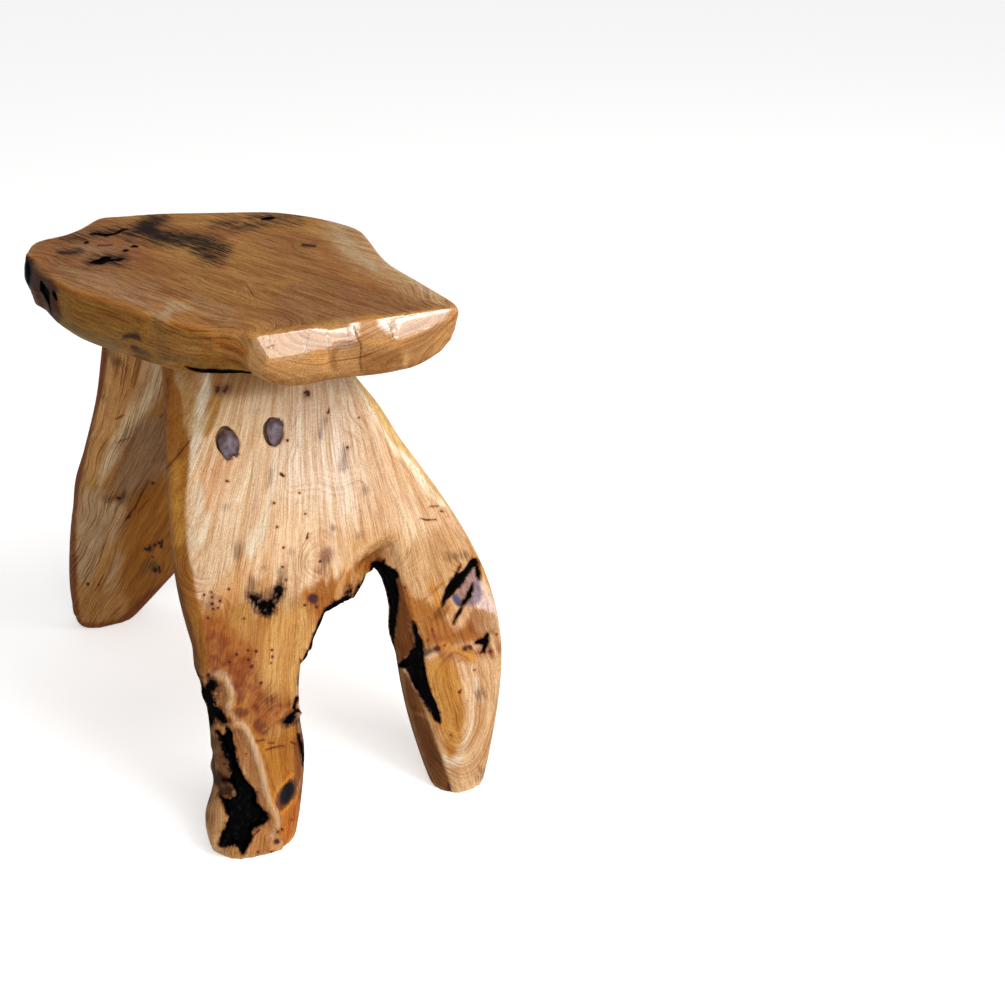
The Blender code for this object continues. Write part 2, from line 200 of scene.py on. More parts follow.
drawingValues = {
    "seenLean": 0.03,             # a face that leans further away isn't seen
    "seenGapMm": (1.5, 0.5),      # a look starts this far off, to the camera and outwards
    "seenRounds": 4,              # smoothing of the border of what is seen
    "seenShare": 0.3,
    "seenSlopePx": 30,
    "streakMm": (3.2, 45),        # paint runs out in streaks, across and along the wood
    "fineStreakMm": (1.6, 16),
    "fineShift": 7.3,
    "raggedMm": 5,
    "raggedShares": (0.8, 0.4, 0.35),
    "groundMm": 45,               # broad patches of the two ground tones
    "groundStreak": 2.5,
    "groundShare": 0.6,
    "mottleMm": (6, 2.6),
    "mottleShare": 0.6,
    "ringStep": 0.8,              # growth lines round a knot, in millimetres for a pixel
    "ringReach": 1.5,
    "edgeRounds": 2,
    "flowRounds": 3,
}

drawnLayers = ["edge", "knot", "charAndShadow", "stain", "gloss", "figure"]
plugFaces = {}                    # where each plug lies on its leg, found as its mouth is cut


# A piece of wood while it is carved and painted: the fine mesh, its points as an array,
# and the layers that are drawn on it, which become attributes that the material reads.
class Wood:
    def __init__(self, node, name, values):
        self.node = node
        self.values = values
        bm = bmesh.new()
        bm.from_mesh(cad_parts[node].data)
        bmesh.ops.remove_doubles(bm, verts=bm.verts, dist=0.01 * mm)
        self.piece = newPiece(name, bm)
        remesh = self.piece.modifiers.new("even squares", "REMESH")
        remesh.mode = "VOXEL"
        remesh.voxel_size = values["voxelMm"] * mm
        applyModifiers(self.piece)
        self.readMesh()
        self.evenOut(values["smoothRounds"])
        self.tree = self.makeTree()

    def readMesh(self):
        mesh = self.piece.data
        self.points = np.empty(len(mesh.vertices) * 3)
        mesh.vertices.foreach_get("co", self.points)
        self.points = self.points.reshape(-1, 3)
        ends = np.empty(len(mesh.edges) * 2, dtype=np.int32)
        mesh.edges.foreach_get("vertices", ends)
        self.edges = ends.reshape(-1, 2)

    def writeMesh(self):
        self.piece.data.vertices.foreach_set("co", self.points.ravel())
        self.piece.data.update()

    def readNormals(self):
        normals = np.empty(len(self.points) * 3)
        self.piece.data.vertices.foreach_get("normal", normals)
        return normals.reshape(-1, 3)

    # The way from each point to the camera, one long.
    def wayToCamera(self):
        way = np.array(camera.location) - self.points
        return way / np.linalg.norm(way, axis=1)[:, None]

    def makeTree(self):
        return BVHTree.FromObject(self.piece, bpy.context.evaluated_depsgraph_get())

    # The mean of each point's neighbours, of any array over the points.
    def neighbourMean(self, values):
        a, b = self.edges[:, 0], self.edges[:, 1]
        count = len(self.points)
        many = np.bincount(a, minlength=count) + np.bincount(b, minlength=count)
        columns = values.reshape(count, -1)
        total = np.empty_like(columns)
        for k in range(columns.shape[1]):
            total[:, k] = (np.bincount(a, columns[b, k], count)
                           + np.bincount(b, columns[a, k], count))
        return (total / np.maximum(many, 1)[:, None]).reshape(values.shape)

    def evened(self, values, rounds):
        for _ in range(rounds):
            values = self.neighbourMean(values)
        return values

    # Smoothing in pairs of steps, in and out again, so that the piece keeps its size.
    def evenOut(self, rounds):
        for _ in range(rounds):
            for step in (0.5, -0.52):
                self.points += step * (self.neighbourMean(self.points) - self.points)
        self.writeMesh()

    # Where each point is seen in the photograph, which points the camera sees, and where
    # they would be seen if they were first pressed flat on the slab's face: what is
    # painted by that place goes right through the slab.
    def look(self):
        values = drawingValues
        self.normals = self.readNormals()
        self.pixels = pixelsOf(self.points)
        outward = -np.array(self.values["inward"])
        deep = np.array(self.values["facePoint"]) - self.points
        self.pressed = pixelsOf(self.points + (deep @ outward)[:, None] * outward)
        toCamera = self.wayToCamera()
        self.seen = (self.normals * toCamera).sum(axis=1) > values["seenLean"]
        tree = self.makeTree()
        ahead, off = values["seenGapMm"]
        for i in np.flatnonzero(self.seen):
            start = Vector(self.points[i] + toCamera[i] * ahead * mm + self.normals[i] * off * mm)
            if tree.ray_cast(start, Vector(toCamera[i]))[0] is not None:
                self.seen[i] = False
        share = self.seen.astype(float)
        for _ in range(values["seenRounds"]):
            share = 0.5 * share + 0.5 * self.neighbourMean(share)
        self.seenEdge = (share - values["seenShare"]) * values["seenSlopePx"]

    # Sends a pixel onto the wood, and gives the place and the way that its face looks.
    def hit(self, x, y):
        place, normal, _, _ = self.tree.ray_cast(camera.location, pixelRay(x, y).normalized())
        if place is None:
            return None
        return np.array(place), np.array(normal)

    # How far each point lies inside the shapes, in pixels: only where the camera sees it,
    # or right through the slab.
    def field(self, shapes, through=False):
        where = self.pressed if through else self.pixels
        field = np.full(len(self.points), -1e9)
        for shape in shapes:
            field = np.maximum(field, shapeField(where, shape))
        if not through:
            field = np.minimum(field, self.seenEdge)
        return field

    # Pulls the wood round what one pixel shows until another pixel shows it, with a soft
    # brush.
    def grab(self, start, end, reachMm):
        held = self.hit(*start)
        if held is None:
            print("a pull misses", self.node, start)
            return
        place = held[0]
        eye = np.array(camera.location)
        first, last = (np.array(pixelRay(*pixel)) for pixel in (start, end))
        pull = eye + last * np.linalg.norm(place - eye) / np.linalg.norm(first) - place
        away = np.linalg.norm(self.points - place, axis=1)
        self.points += (1 - smoothStep(0, reachMm * mm, away))[:, None] * pull
        self.writeMesh()
        self.tree = self.makeTree()

    # Swells the wood by a height in millimetres inside shapes, or sinks it where that is
    # negative.
    def swell(self, shapes, height, edge):
        normals = self.readNormals()
        facing = smoothStep(0.0, 0.3, (normals * self.wayToCamera()).sum(axis=1))
        pixels = pixelsOf(self.points)
        field = np.max([shapeField(pixels, shape) for shape in shapes], axis=0)
        self.points += normals * (smoothStep(-edge, edge, field) * facing * height * mm)[:, None]
        self.writeMesh()

    # Splits the small squares near fine marks, so that they can be carved sharply.
    def refine(self, shapes, rounds):
        for _ in range(rounds):
            near = np.zeros(len(self.points), bool)
            pixels = pixelsOf(self.points)
            facing = (self.readNormals() * self.wayToCamera()).sum(axis=1) > 0
            for shape in shapes:
                near |= facing & (shapeField(pixels, shape, far=4.0) > -2.5)
            bm = bmesh.new()
            bm.from_mesh(self.piece.data)
            chosen = [edge for edge, (a, b) in zip(bm.edges, near[self.edges]) if a and b]
            bmesh.ops.subdivide_edges(bm, edges=chosen, cuts=1, use_grid_fill=True)
            bm.to_mesh(self.piece.data)
            bm.free()
            self.readMesh()

    # Starts the layers: the way of the growth lines and of the straight fibres, the ragged
    # edge of paint and the ground tone, with nothing drawn yet.
    def startLayers(self):
        values = drawingValues
        self.layers = {name: np.full(len(self.points), -1.0) for name in drawnLayers}
        self.sink = np.zeros(len(self.points))
        self.look()
        if "guides" in self.values:
            self.layers["ring"] = self.growthRings(self.values["guides"])
        else:
            fromPith = (self.points - np.array(self.values["pith"]))[:, [0, 2]]
            self.layers["ring"] = np.linalg.norm(fromPith, axis=1) / mm
        # the straight fibres' own directions: down the trunk, across and into the wood
        trunk, deep = (Vector(self.values[way]).normalized() for way in ("alongWay", "inward"))
        side = np.array(deep.cross(trunk).normalized())
        along, across = self.points @ np.array(trunk) / mm, self.points @ side / mm
        lane = self.layers["ring"]
        if "fanFrom" in self.values:
            ray = pixelRay(*self.values["fanFrom"])
            away = (Vector(self.values["facePoint"]) - camera.location).dot(deep) / ray.dot(deep)
            origin = np.array(camera.location + ray * away) / mm
            drop = np.maximum(along - origin @ np.array(trunk), 60)
            lane = across = (across - origin @ side) * self.values["fanMm"] / drop
        self.layers["along"], self.layers["across"] = along, across
        self.layers["depth"] = self.points @ np.array(deep) / mm
        wide, long = values["streakMm"]
        streak = np.stack([lane / wide, along / long, along * 0], axis=1)
        wide, long = values["fineStreakMm"]
        fine = np.stack([lane / wide, along / long, along * 0 + values["fineShift"]], axis=1)
        first, second, third = values["raggedShares"]
        self.ragged = (first * softNoise(streak, 1.0, 11) + second * softNoise(fine, 1.0, 12)
                       + third * softNoise(self.points, values["raggedMm"] * mm, 13))
        broad = (softNoise(self.points, values["groundMm"] * mm, 14)
                 + values["groundShare"] * softNoise(streak, values["groundStreak"], 15))
        share = smoothStep(-0.8, 0.8, broad)[:, None]
        first, second = (np.array(linear(c)[:3]) for c in self.values["ground"])
        self.tone = first * (1 - share) + second * share

    # Draws shapes on a layer in units of its softness, in pixels.
    def draw(self, layer, shapes, soft):
        drawn = np.clip(self.field(shapes) / soft, -1, 1)
        self.layers[layer] = np.maximum(self.layers[layer], drawn)

    # Takes shapes out of a layer again.
    def erase(self, layer, shapes, soft):
        drawn = np.clip(self.field(shapes) / soft, -1, 1)
        self.layers[layer] = np.minimum(self.layers[layer], -drawn)

    # Paints the ground tone inside the shapes, on the face or right through the slab.
    def paint(self, colour, extent, soft, ragged, strength, mottle, shapes):
        field = self.field(shapes, extent == "slab") + self.ragged * ragged
        share = smoothStep(-soft, soft, field) * strength
        if mottle:
            coarse, fine = (size * mm for size in drawingValues["mottleMm"])
            spots = (softNoise(self.points, coarse, 21)
                     + drawingValues["mottleShare"] * softNoise(self.points, fine, 22))
            share = share * (1 - mottle * smoothStep(-0.25, 0.45, spots))
        self.tone += share[:, None] * (np.array(linear(colour)[:3]) - self.tone)

    # Carves shapes to a depth in millimetres, or raises them where it is negative.
    def carveOut(self, shapes, depthMm, edge, rough):
        field = self.field(shapes) + self.ragged * rough
        carved = smoothStep(0, edge, field) * depthMm * mm
        self.sink = np.where(np.abs(carved) > np.abs(self.sink), carved, self.sink)

    def carve(self):
        self.points -= self.normals * self.sink[:, None]
        self.writeMesh()

    # The face of the leg round a plug, as a place on it and its ways across, up and out.
    def faceRound(self, plug, values):
        low, high = (np.array(corner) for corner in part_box(plug))
        across = np.array((1.0, 0.0, 0.0))
        out = np.array(self.values["inward"]) * self.values["plugSide"]
        out /= np.linalg.norm(out)
        up = np.cross(out, across)
        up *= np.sign(up[2])
        middle = (low + high) / 2
        rows, heights = [], []
        for angle in np.linspace(0, 2 * math.pi, 12, endpoint=False):
            u, v = np.array((math.cos(angle), math.sin(angle))) * values["ringMm"] * mm
            start = middle + across * u + up * v + out * 2 * values["ringMm"] * mm
            place = self.tree.ray_cast(Vector(start), Vector(-out))[0]
            if place is not None:
                rows.append((1, u, v))
                heights.append((np.array(place) - middle) @ out)
        height, slopeAcross, slopeUp = np.linalg.lstsq(np.array(rows), np.array(heights), rcond=None)[0]
        across = across + out * slopeAcross
        up = up + out * slopeUp
        return middle + out * height, across, up, out

    # Cuts the ragged mouth of a screw pocket, with a flat bottom, round a plug.
    def openMouth(self, plug, values):
        origin, across, up, out = plugFaces[plug] = self.faceRound(plug, values)
        flat = np.stack([(self.points - origin) @ across, (self.points - origin) @ up], axis=1) / mm
        height = (self.points - origin) @ out / mm
        field = shapeField(flat, values["outlines"][plug], far=6.0)
        field = np.where(np.abs(height) < 7, field, -6.0)
        inside = smoothStep(-0.3, 0.4, field)
        self.points -= out * (inside * np.maximum(height + values["depthMm"], 0) * mm)[:, None]
        share = smoothStep(-0.6, 0.3, field)[:, None]
        self.tone += share * (np.array(linear(values["rimColour"])[:3]) - self.tone)
        self.writeMesh()

    # Planes off the wood beyond the plane through three pixels, near the line between the
    # first two, as a drawknife does.
    def facet(self, pixels, reachMm):
        corners = [self.hit(x, y) for x, y in pixels]
        if any(corner is None for corner in corners):
            print("a facet misses", self.node, pixels)
            return
        a, b, c = (corner[0] for corner in corners)
        normal = np.cross(b - a, c - a)
        normal /= np.linalg.norm(normal)
        if normal @ sum((corner[1] for corner in corners), np.zeros(3)) < 0:
            normal = -normal
        self.plane(a, normal, (a + b + c) / 3, b - a, reachMm)

    # A bevel below a straight edge on top, seen between two pixels: its plane leans back by
    # an angle, and hollows up to a depth in front of it are filled too.
    def bevel(self, pixels, reachMm, leanDegrees, fillMm):
        a, b = (self.hit(x, y)[0] for x, y in pixels)
        a[2] = b[2] = self.values["facePoint"][2]
        level = np.cross(b - a, (0, 0, 1))
        level /= np.linalg.norm(level)
        lean = math.radians(leanDegrees)
        normal = level * math.cos(lean) + np.array((0, 0, math.sin(lean)))
        self.plane(a, normal, (a + b) / 2, b - a, reachMm, fillMm)

    # Takes off what stands above a plane, near a line, and fills what lies just below it.
    def plane(self, place, normal, middle, way, reachMm, fillMm=0.0):
        height = (self.points - place) @ normal
        t = np.clip((self.points - middle) @ way / (way @ way), -0.5, 0.5)
        away = np.linalg.norm(self.points - middle - t[:, None] * way, axis=1)
        near = 1 - smoothStep(0.75, 1.0, away / (reachMm * mm))
        soft = self.values["facetSoftMm"] * mm
        cut = np.where(height > -4 * soft, (height + np.sqrt(height ** 2 + soft ** 2)) / 2, 0)
        if fillMm:
            facing = smoothStep(0.55, 0.75, self.readNormals() @ normal)
            raised = height * smoothStep(-fillMm * mm, -0.7 * fillMm * mm, height) * facing
            cut = np.where(height < 0, raised, cut)
        self.points -= normal * (cut * near)[:, None]
        self.writeMesh()

    # Growth lines. A guide is one line that the photograph shows, with its distance
    # from the middle of the tree in millimetres. Between the guides that distance is
    # interpolated, and a copy of each guide a slab's thickness deeper takes it through
    # to the hidden side.
    def growthRings(self, guides):
        places, distances = [], []
        for distance, deeper, pixels in guides:
            for x, y in pixels:
                seen = self.hit(x, y)
                if seen is None:
                    continue
                places.append(seen[0])
                distances.append(distance)
                if deeper is not None:
                    inward = np.array(self.values["inward"]) * self.values["slabMm"] * mm
                    places.append(seen[0] + inward)
                    distances.append(distance + deeper)
        places, distances = np.array(places), np.array(distances)
        count = len(places)
        smooth = self.values["ringSmoothMm"] * mm
        gaps = np.sqrt(((places[:, None] - places[None]) ** 2).sum(axis=2) + smooth ** 2)
        system = np.zeros((count + 4, count + 4))
        system[:count, :count] = gaps - np.eye(count) * self.values["ringEase"]
        system[:count, count] = system[count, :count] = 1
        system[:count, count + 1:] = places
        system[count + 1:, :count] = places.T
        answer = np.linalg.lstsq(system, np.concatenate([distances, np.zeros(4)]), rcond=None)[0]
        ring = answer[count] + self.points @ answer[count + 1:]
        for place, weight in zip(places, answer[:count]):
            ring += weight * np.sqrt(((self.points - place) ** 2).sum(axis=1) + smooth ** 2)
        return ring

    # How fast the growth lines pass across the surface: near 0 they lie flat in it, where
    # they are left out.
    def flowLayer(self):
        a, b = self.edges[:, 0], self.edges[:, 1]
        steps = (np.abs(self.layers["ring"][a] - self.layers["ring"][b])
                 / np.maximum(np.linalg.norm(self.points[a] - self.points[b], axis=1) / mm, 0.05))
        count = len(self.points)
        flow = ((np.bincount(a, steps, count) + np.bincount(b, steps, count))
                / np.maximum(np.bincount(a, minlength=count) + np.bincount(b, minlength=count), 1))
        return self.evened(flow, drawingValues["flowRounds"])

    # Round a knot, an (x, y, radius) in pixels, the growth lines close into rings.
    def bendRound(self, knots):
        ring = self.layers["ring"]
        for x, y, radius in knots:
            away = np.where(self.seen, np.hypot(self.pixels[:, 0] - x, self.pixels[:, 1] - y), 1e3)
            own = ring[np.argmin(away)] + away * drawingValues["ringStep"]
            share = np.exp(-(away / (radius * drawingValues["ringReach"])) ** 2)
            ring = ring * (1 - share) + own * share
        self.layers["ring"] = ring

    # Scatters pin knots over the sides that the photograph doesn't show.
    def scatterKnots(self, count, radiiMm, seed, depthMm):
        chance = np.random.default_rng(seed)
        hidden = np.flatnonzero(~self.seen)
        for index in chance.choice(hidden, count, replace=False):
            radius = chance.uniform(*radiiMm) * mm
            away = np.linalg.norm(self.points - self.points[index], axis=1)
            field = np.where(self.seen, -1.0, np.clip((radius - away) / (1.2 * mm), -1, 1))
            self.layers["knot"] = np.maximum(self.layers["knot"], field)
            self.sink = np.maximum(self.sink, smoothStep(0, 0.6, field) * depthMm * mm)

    # How sharply the surface stands out, smoothed, from -1 in hollows to 1 on edges.
    def edgeLayer(self, gain):
        normals = self.readNormals()
        lean = ((self.points - self.neighbourMean(self.points)) * normals).sum(axis=1)
        return np.clip(self.evened(lean, drawingValues["edgeRounds"]) / mm * gain, -1, 1)

    # Keeps every point inside the box of its CAD node, and stores the layers.
    def finish(self, material):
        if "edgeGain" in self.values:
            self.layers["edge"] = self.edgeLayer(self.values["edgeGain"])
        self.layers["flow"] = self.flowLayer()
        low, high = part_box(self.node)
        self.points = np.clip(self.points, np.array(low), np.array(high))
        self.writeMesh()
        mesh = self.piece.data
        for name, layer in self.layers.items():
            attribute = mesh.attributes.new(name, "FLOAT", "POINT")
            attribute.data.foreach_set("value", layer.astype(np.float32))
        tone = mesh.attributes.new("tone", "FLOAT_COLOR", "POINT")
        colours = np.concatenate([self.tone, np.ones((len(self.points), 1))], axis=1)
        tone.data.foreach_set("color", colours.astype(np.float32).ravel())
        mesh.shade_smooth()
        mesh.materials.clear()
        mesh.materials.append(material)
        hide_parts(self.node)
        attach(self.piece, "root")
        triangles = sum(len(face.vertices) - 2 for face in mesh.polygons)
        print(self.piece.name, "has", triangles, "triangles")


# Materials

def linear(hexColour):
    parts = [int(hexColour[i:i + 2], 16) / 255 for i in (1, 3, 5)]
    parts = [p / 12.92 if p <= 0.04045 else ((p + 0.055) / 1.055) ** 2.4 for p in parts]
    return (*parts, 1.0)


# Adds a node. Its inputs are a list in the node's own order, or go by name or number, and
# each takes a value or a link. The stops are for a colour ramp.
def addNode(tree, kind, inputs=(), stops=None, **settings):
    node = tree.nodes.new("ShaderNode" + kind)
    for name, value in settings.items():
        setattr(node, name, value)
    for key, value in inputs.items() if isinstance(inputs, dict) else enumerate(inputs):
        if isinstance(value, bpy.types.NodeSocket):
            tree.links.new(value, node.inputs[key])
        else:
            node.inputs[key].default_value = value
    if stops:
        elements = node.color_ramp.elements
        while len(elements) < len(stops):
            elements.new(1.0)
        for element, (place, colour) in zip(elements, stops):
            element.position = place
            element.color = colour
    return node


def newMaterial(name):
    material = bpy.data.materials.new(name)
    material.use_nodes = True
    tree = material.node_tree
    return material, tree, tree.nodes["Principled BSDF"]


# What lies over the ground tone of the wood, in this order: a pattern, where it starts and
# where it is full, its greatest share and its colour in the piece's look, how it is mixed
# in, and a pattern that limits it.
woodColours = [
    ("bands", 0.62, 0.32, "bandShare", "bandDark", "MULTIPLY", None),
    ("bands", 0.48, 0.78, "bandShare", "bandLight", "SCREEN", None),
    ("lines", 0.46, 0.35, "lineShare", "lineColour", "MULTIPLY", "shown"),
    ("lines", 0.58, 0.72, "paleLineShare", "bandLight", "SCREEN", None),
    ("fibres", 0.62, 0.30, "fibreShare", "fibreDark", "MULTIPLY", None),
    ("pores", 0.36, 0.27, "poreShare", "lineColour", "MULTIPLY", None),
    ("grit", 0.60, 0.38, "gritShare", "fibreDark", "MULTIPLY", None),
    # a painted highlight on edges, and painted shade in hollows
    ("edge", 0.15, 0.80, "edgeHighlightShare", "edgeHighlightColour", "MIX", None),
    ("edge", -0.15, -0.90, "hollowShadeShare", "hollowShadeColour", "MULTIPLY", None),
    ("stain", -0.90, 1.00, "stainShare", "stainColour", "MULTIPLY", None),
    ("knot", -1.00, 0.10, "haloShare", "haloColour", "MULTIPLY", None),
    ("knot", -0.15, 0.50, "knotShare", "knotColour", "MIX", None),
    ("charAndShadow", -0.90, -0.05, "scorchAndShadeShare", "scorchAndShadeColour", "MULTIPLY", None),
]


# Lacquered wood: bands, growth lines and fibres lie over the ground tone, partly along the growth
# rings and partly straight down the trunk, and the drawn layers add knots, stains, charred wood
# and a painted shadow. Edges get a painted highlight and hollows painted shade. Clear lacquer
# gives it a soft gloss, and a mirror's on the polished bevel.
def lacqueredWood(name, look):
    material, tree, shader = newMaterial(name)
    smooth = {"interpolation_type": "SMOOTHSTEP"}

    def made(kind, inputs=(), output=0, **settings):
        return addNode(tree, kind, inputs, **settings).outputs[output]

    place = made("TexCoord", output="Object")
    names = drawnLayers + ["ring", "along", "across", "depth", "flow"]
    layers = {layer: made("Attribute", output="Fac", attribute_name=layer) for layer in names}

    # clouds of a size in millimetres
    def cloud(sizeMm, detail=2.0, roughness=0.55):
        return made("TexNoise", {"Vector": place, "Scale": 1 / (sizeMm * mm), "Detail": detail,
                                 "Roughness": roughness}, "Fac")

    # a value that a pattern sways by up to half a depth either way
    def swayed(value, pattern, depth):
        sway = made("Math", [pattern, 0.5], operation="SUBTRACT")
        sway = made("Math", [sway, depth], operation="MULTIPLY")
        return made("Math", [value, sway], operation="ADD")

    # streaks of a width and a length in millimetres
    def streaks(across, depth, acrossMm, alongMm, detail):
        lanes = [made("Math", [across, acrossMm], operation="DIVIDE"),
                 made("Math", [layers["along"], alongMm], operation="DIVIDE"),
                 made("Math", [depth, acrossMm], operation="DIVIDE")]
        return made("TexNoise", {"Vector": made("CombineXYZ", lanes), "Scale": 1.0,
                                 "Detail": detail, "Roughness": 0.6}, "Fac")

    def ringwise(acrossMm, alongMm, detail):
        return streaks(ring, 0.0, acrossMm, alongMm, detail)

    def straight(acrossMm, alongMm, detail):
        return streaks(across, layers["depth"], acrossMm, alongMm, detail)

    def blended(acrossMm, alongMm, detail):
        return made("Mix", {0: straightness, 2: ringwise(acrossMm, alongMm, detail),
                            3: straight(acrossMm, alongMm, detail)})

    # the ring distance is a little unsteady, so that no line looks ruled
    ring = swayed(layers["ring"], cloud(look["wanderMm"], 1), look["wanderDepthMm"])
    ring = swayed(ring, cloud(look["rippleSizeMm"], 2), look["rippleMm"])
    across = swayed(layers["across"], cloud(look["waverMm"], 1), look["waverDepthMm"])

    # where the growth lines lie flat in the surface, straight fibres take their place
    flat = made("MapRange", [layers["flow"], *look["flatFlow"]], **smooth)
    straightness = made("MapRange", [layers["figure"], 0.4, -0.8, 0.0, look["straightShare"]],
                        **smooth)
    straightness = made("Math", [straightness, flat], operation="MAXIMUM")
    fade = made("MapRange", [cloud(look["fadeMm"], 1), 0.42, 0.58, 1 - look["lineFade"]], **smooth)
    figured = made("MapRange", [layers["figure"], -0.8, 0.4], **smooth)
    shown = made("Math", [fade, figured], operation="MAXIMUM")
    notFlat = made("Math", [1.0, flat], operation="SUBTRACT")

    fibreMm = look["fibreMm"]
    patterns = {
        "bands": blended(look["bandMm"], look["bandMm"] * look["bandStretch"], 2),
        "lines": ringwise(look["lineMm"], look["lineMm"] * look["lineStretch"], 1),
        "fibres": blended(fibreMm, fibreMm * look["fibreStretch"], 2),
        "pores": blended(fibreMm * look["poreWidth"], fibreMm * look["poreStretch"], 1),
        "grit": cloud(look["gritMm"], 2, 0.7),
        "shown": made("Math", [shown, notFlat], operation="MULTIPLY"),
        "edge": layers["edge"],
        "knot": swayed(layers["knot"], cloud(look["knotMm"], 3), look["knotSway"]),
    }
    stain = swayed(layers["stain"], straight(*look["stainStreakMm"], 3), look["stainSway"][0])
    patterns["stain"] = swayed(stain, cloud(look["stainMm"], 4, 0.65), look["stainSway"][1])
    charAndShadow = swayed(layers["charAndShadow"], cloud(look["charAndShadowCloudMm"], 5, 0.65), look["charAndShadowSway"][0])
    patterns["charAndShadow"] = swayed(charAndShadow, ringwise(*look["charAndShadowStreakMm"], 2), look["charAndShadowSway"][1])

    colour = made("Attribute", output="Color", attribute_name="tone")
    for pattern, start, full, share, hexColour, blend, limit in woodColours:
        amount = made("MapRange", [patterns[pattern], start, full, 0.0, look[share]], **smooth)
        if limit:
            amount = made("Math", [amount, patterns[limit]], operation="MULTIPLY")
        colour = made("Mix", {0: amount, 6: colour, 7: linear(look[hexColour])}, 2,
                      data_type="RGBA", blend_type=blend)

    # charred hollows and the painted shadow under the seat are black and lumpy, and the lacquer is lost
    # in them
    charredAndShaded = made("MapRange", [patterns["charAndShadow"], -0.1, 0.1], **smooth)
    charAndShadowMottle = made("MapRange", [cloud(look["charAndShadowMm"], 4), 0.52, 0.72], **smooth)
    charAndShadowBlack = made("Mix", {0: charAndShadowMottle, 6: linear(look["charAndShadowDark"]), 7: linear(look["charAndShadowLight"])}, 2,
                data_type="RGBA")
    colour = made("Mix", {0: charredAndShaded, 6: colour, 7: charAndShadowBlack}, 2, data_type="RGBA")
    small, large = (cloud(sizeMm, detail) for sizeMm, detail in look["lumps"])
    lumps = made("Math", [small, large], operation="ADD")
    raised = made("Math", [charredAndShaded, look["lumpHeight"]], operation="MULTIPLY")
    height = made("Math", [lumps, raised], operation="MULTIPLY")
    for pattern, share in look["relief"].items():
        relief = made("Math", [patterns[pattern], share], operation="MULTIPLY")
        height = made("Math", [height, relief], operation="ADD")
    bump = made("Bump", {"Height": height, "Strength": look["bumpStrength"],
                         "Distance": look["bumpMm"] * mm})
    rough = made("MapRange", [patterns["fibres"], 0.2, 0.8, *look["roughness"]])
    polish = made("MapRange", [layers["gloss"], -1, 1, look["coat"], 1.0], **smooth)
    whole = made("MapRange", [charredAndShaded, look["coatEnd"], 0.0], **smooth)
    coat = made("Math", [polish, whole], operation="MULTIPLY")
    for socket, link in (("Base Color", colour), ("Normal", bump), ("Roughness", rough),
                         ("Coat Weight", coat)):
        tree.links.new(link, shader.inputs[socket])
    for socket, value in look["sockets"].items():
        shader.inputs[socket].default_value = value
    return material


# Seat: a plain-sawn slab, darker than the legs, its front end bevelled with a drawknife

seatValues = {
    "voxelMm": 2.0,
    "smoothRounds": 8,
    "slabMm": 50,
    "inward": (0, 0, -1),
    "facePoint": (0, 0, 0.457),
    "ringEase": 0.002,
    "ringSmoothMm": 12,
    "facetSoftMm": 0.8,
    "alongWay": (0.34, -0.94, 0.0),
    "ground": ("#9E6D42", "#B5884F"),
    # distance from the middle of the tree, change over the slab's thickness, pixels
    "guides": [
        (66, 30, [(250, 214), (300, 216), (345, 226), (400, 262), (446, 297)]),
        (50, 30, [(115, 218), (210, 218), (268, 220), (310, 232), (352, 256), (420, 305)]),
        (34, 30, [(86, 228), (153, 225), (210, 230), (268, 243), (310, 264), (388, 313)]),
        (26, 30, [(38, 243), (115, 238), (172, 245), (230, 263), (268, 277), (343, 317)]),
        (42, 30, [(31, 248), (86, 257), (153, 266), (201, 287), (249, 306), (296, 326)]),
        (70, 30, [(33, 257), (96, 278), (153, 301), (172, 311), (220, 325), (255, 332)]),
        (82, None, [(45, 283), (76, 301), (115, 314), (153, 332), (191, 345), (249, 360)]),
        (94, None, [(58, 305), (90, 326), (125, 342), (160, 356), (205, 362)]),
        (46, None, [(276, 343), (307, 352), (343, 352), (361, 346), (396, 332), (432, 316)]),
        (62, None, [(262, 355), (289, 366), (325, 369), (361, 366), (396, 351), (432, 334),
                    (449, 315)]),
        (78, None, [(270, 371), (289, 380), (325, 382), (352, 374), (396, 362), (430, 347),
                    (451, 326)]),
    ],
    # the edge of the bevel on top, its reach in millimetres, its lean in degrees and the
    # depth it fills in millimetres
    "bevel": ([(259, 337), (446, 308)], 23, 27, 10),
    # three pixels on each planed flat and how far it reaches in millimetres
    "facets": [
        ([(258, 345), (262, 370), (240, 358)], 34),
        ([(362, 350), (404, 349), (384, 369)], 30),
        ([(410, 338), (446, 318), (436, 350)], 34),
    ],
    # the pixel where the wood is held, where it is pulled to, and the reach in millimetres
    "pulls": [
        ((36, 288), (33, 298), 22), ((28, 264), (26, 256), 14), ((31, 284), (30, 289), 12),
        ((205, 372), (205, 364), 36), ((236, 375), (236, 363), 40),
        ((449, 347), (441, 333), 28), ((440, 356), (440, 349), 28),
    ],
    # shapes that swell, or sink where negative, in millimetres, over an edge in pixels
    "swellings": [([[(153, 322, 5), (154, 338, 6), (160, 354, 7)]], -3.0, 8.0)],
    # each layer, the marks that are drawn on it and how soft they end, in pixels
    "drawn": [
        ("gloss", "polished", 4.0), ("knot", "knots", 1.5), ("charAndShadow", "inlays", 1.4),
        # the painted shadow under the seat is drawn black on the same layer as the charred marks
        ("charAndShadow", "voids", 1.0), ("charAndShadow", "shadow", 1.5), ("charAndShadow", "endHollow", 2.0),
        ("stain", "dark", 3.0), ("stain", "stains", 8.0), ("stain", "deepStains", 3.0),
    ],
    # marks, their depth in millimetres, their edge and how ragged it is, in pixels
    "carved": [("voids", 2.0, 1.5, 0.0), ("inlays", 0.5, 1.0, 0.0), ("cracks", 0.4, 0.6, 0.0)],
    "ringKnots": [(303, 245, 4), (238, 291, 7), (268, 219, 5)],
    # how many, from and to what radius, the seed, and the depth in millimetres
    "hiddenKnots": (14, (0.8, 2.0), 5, 0.4),
    "edgeGain": 6.0,
}

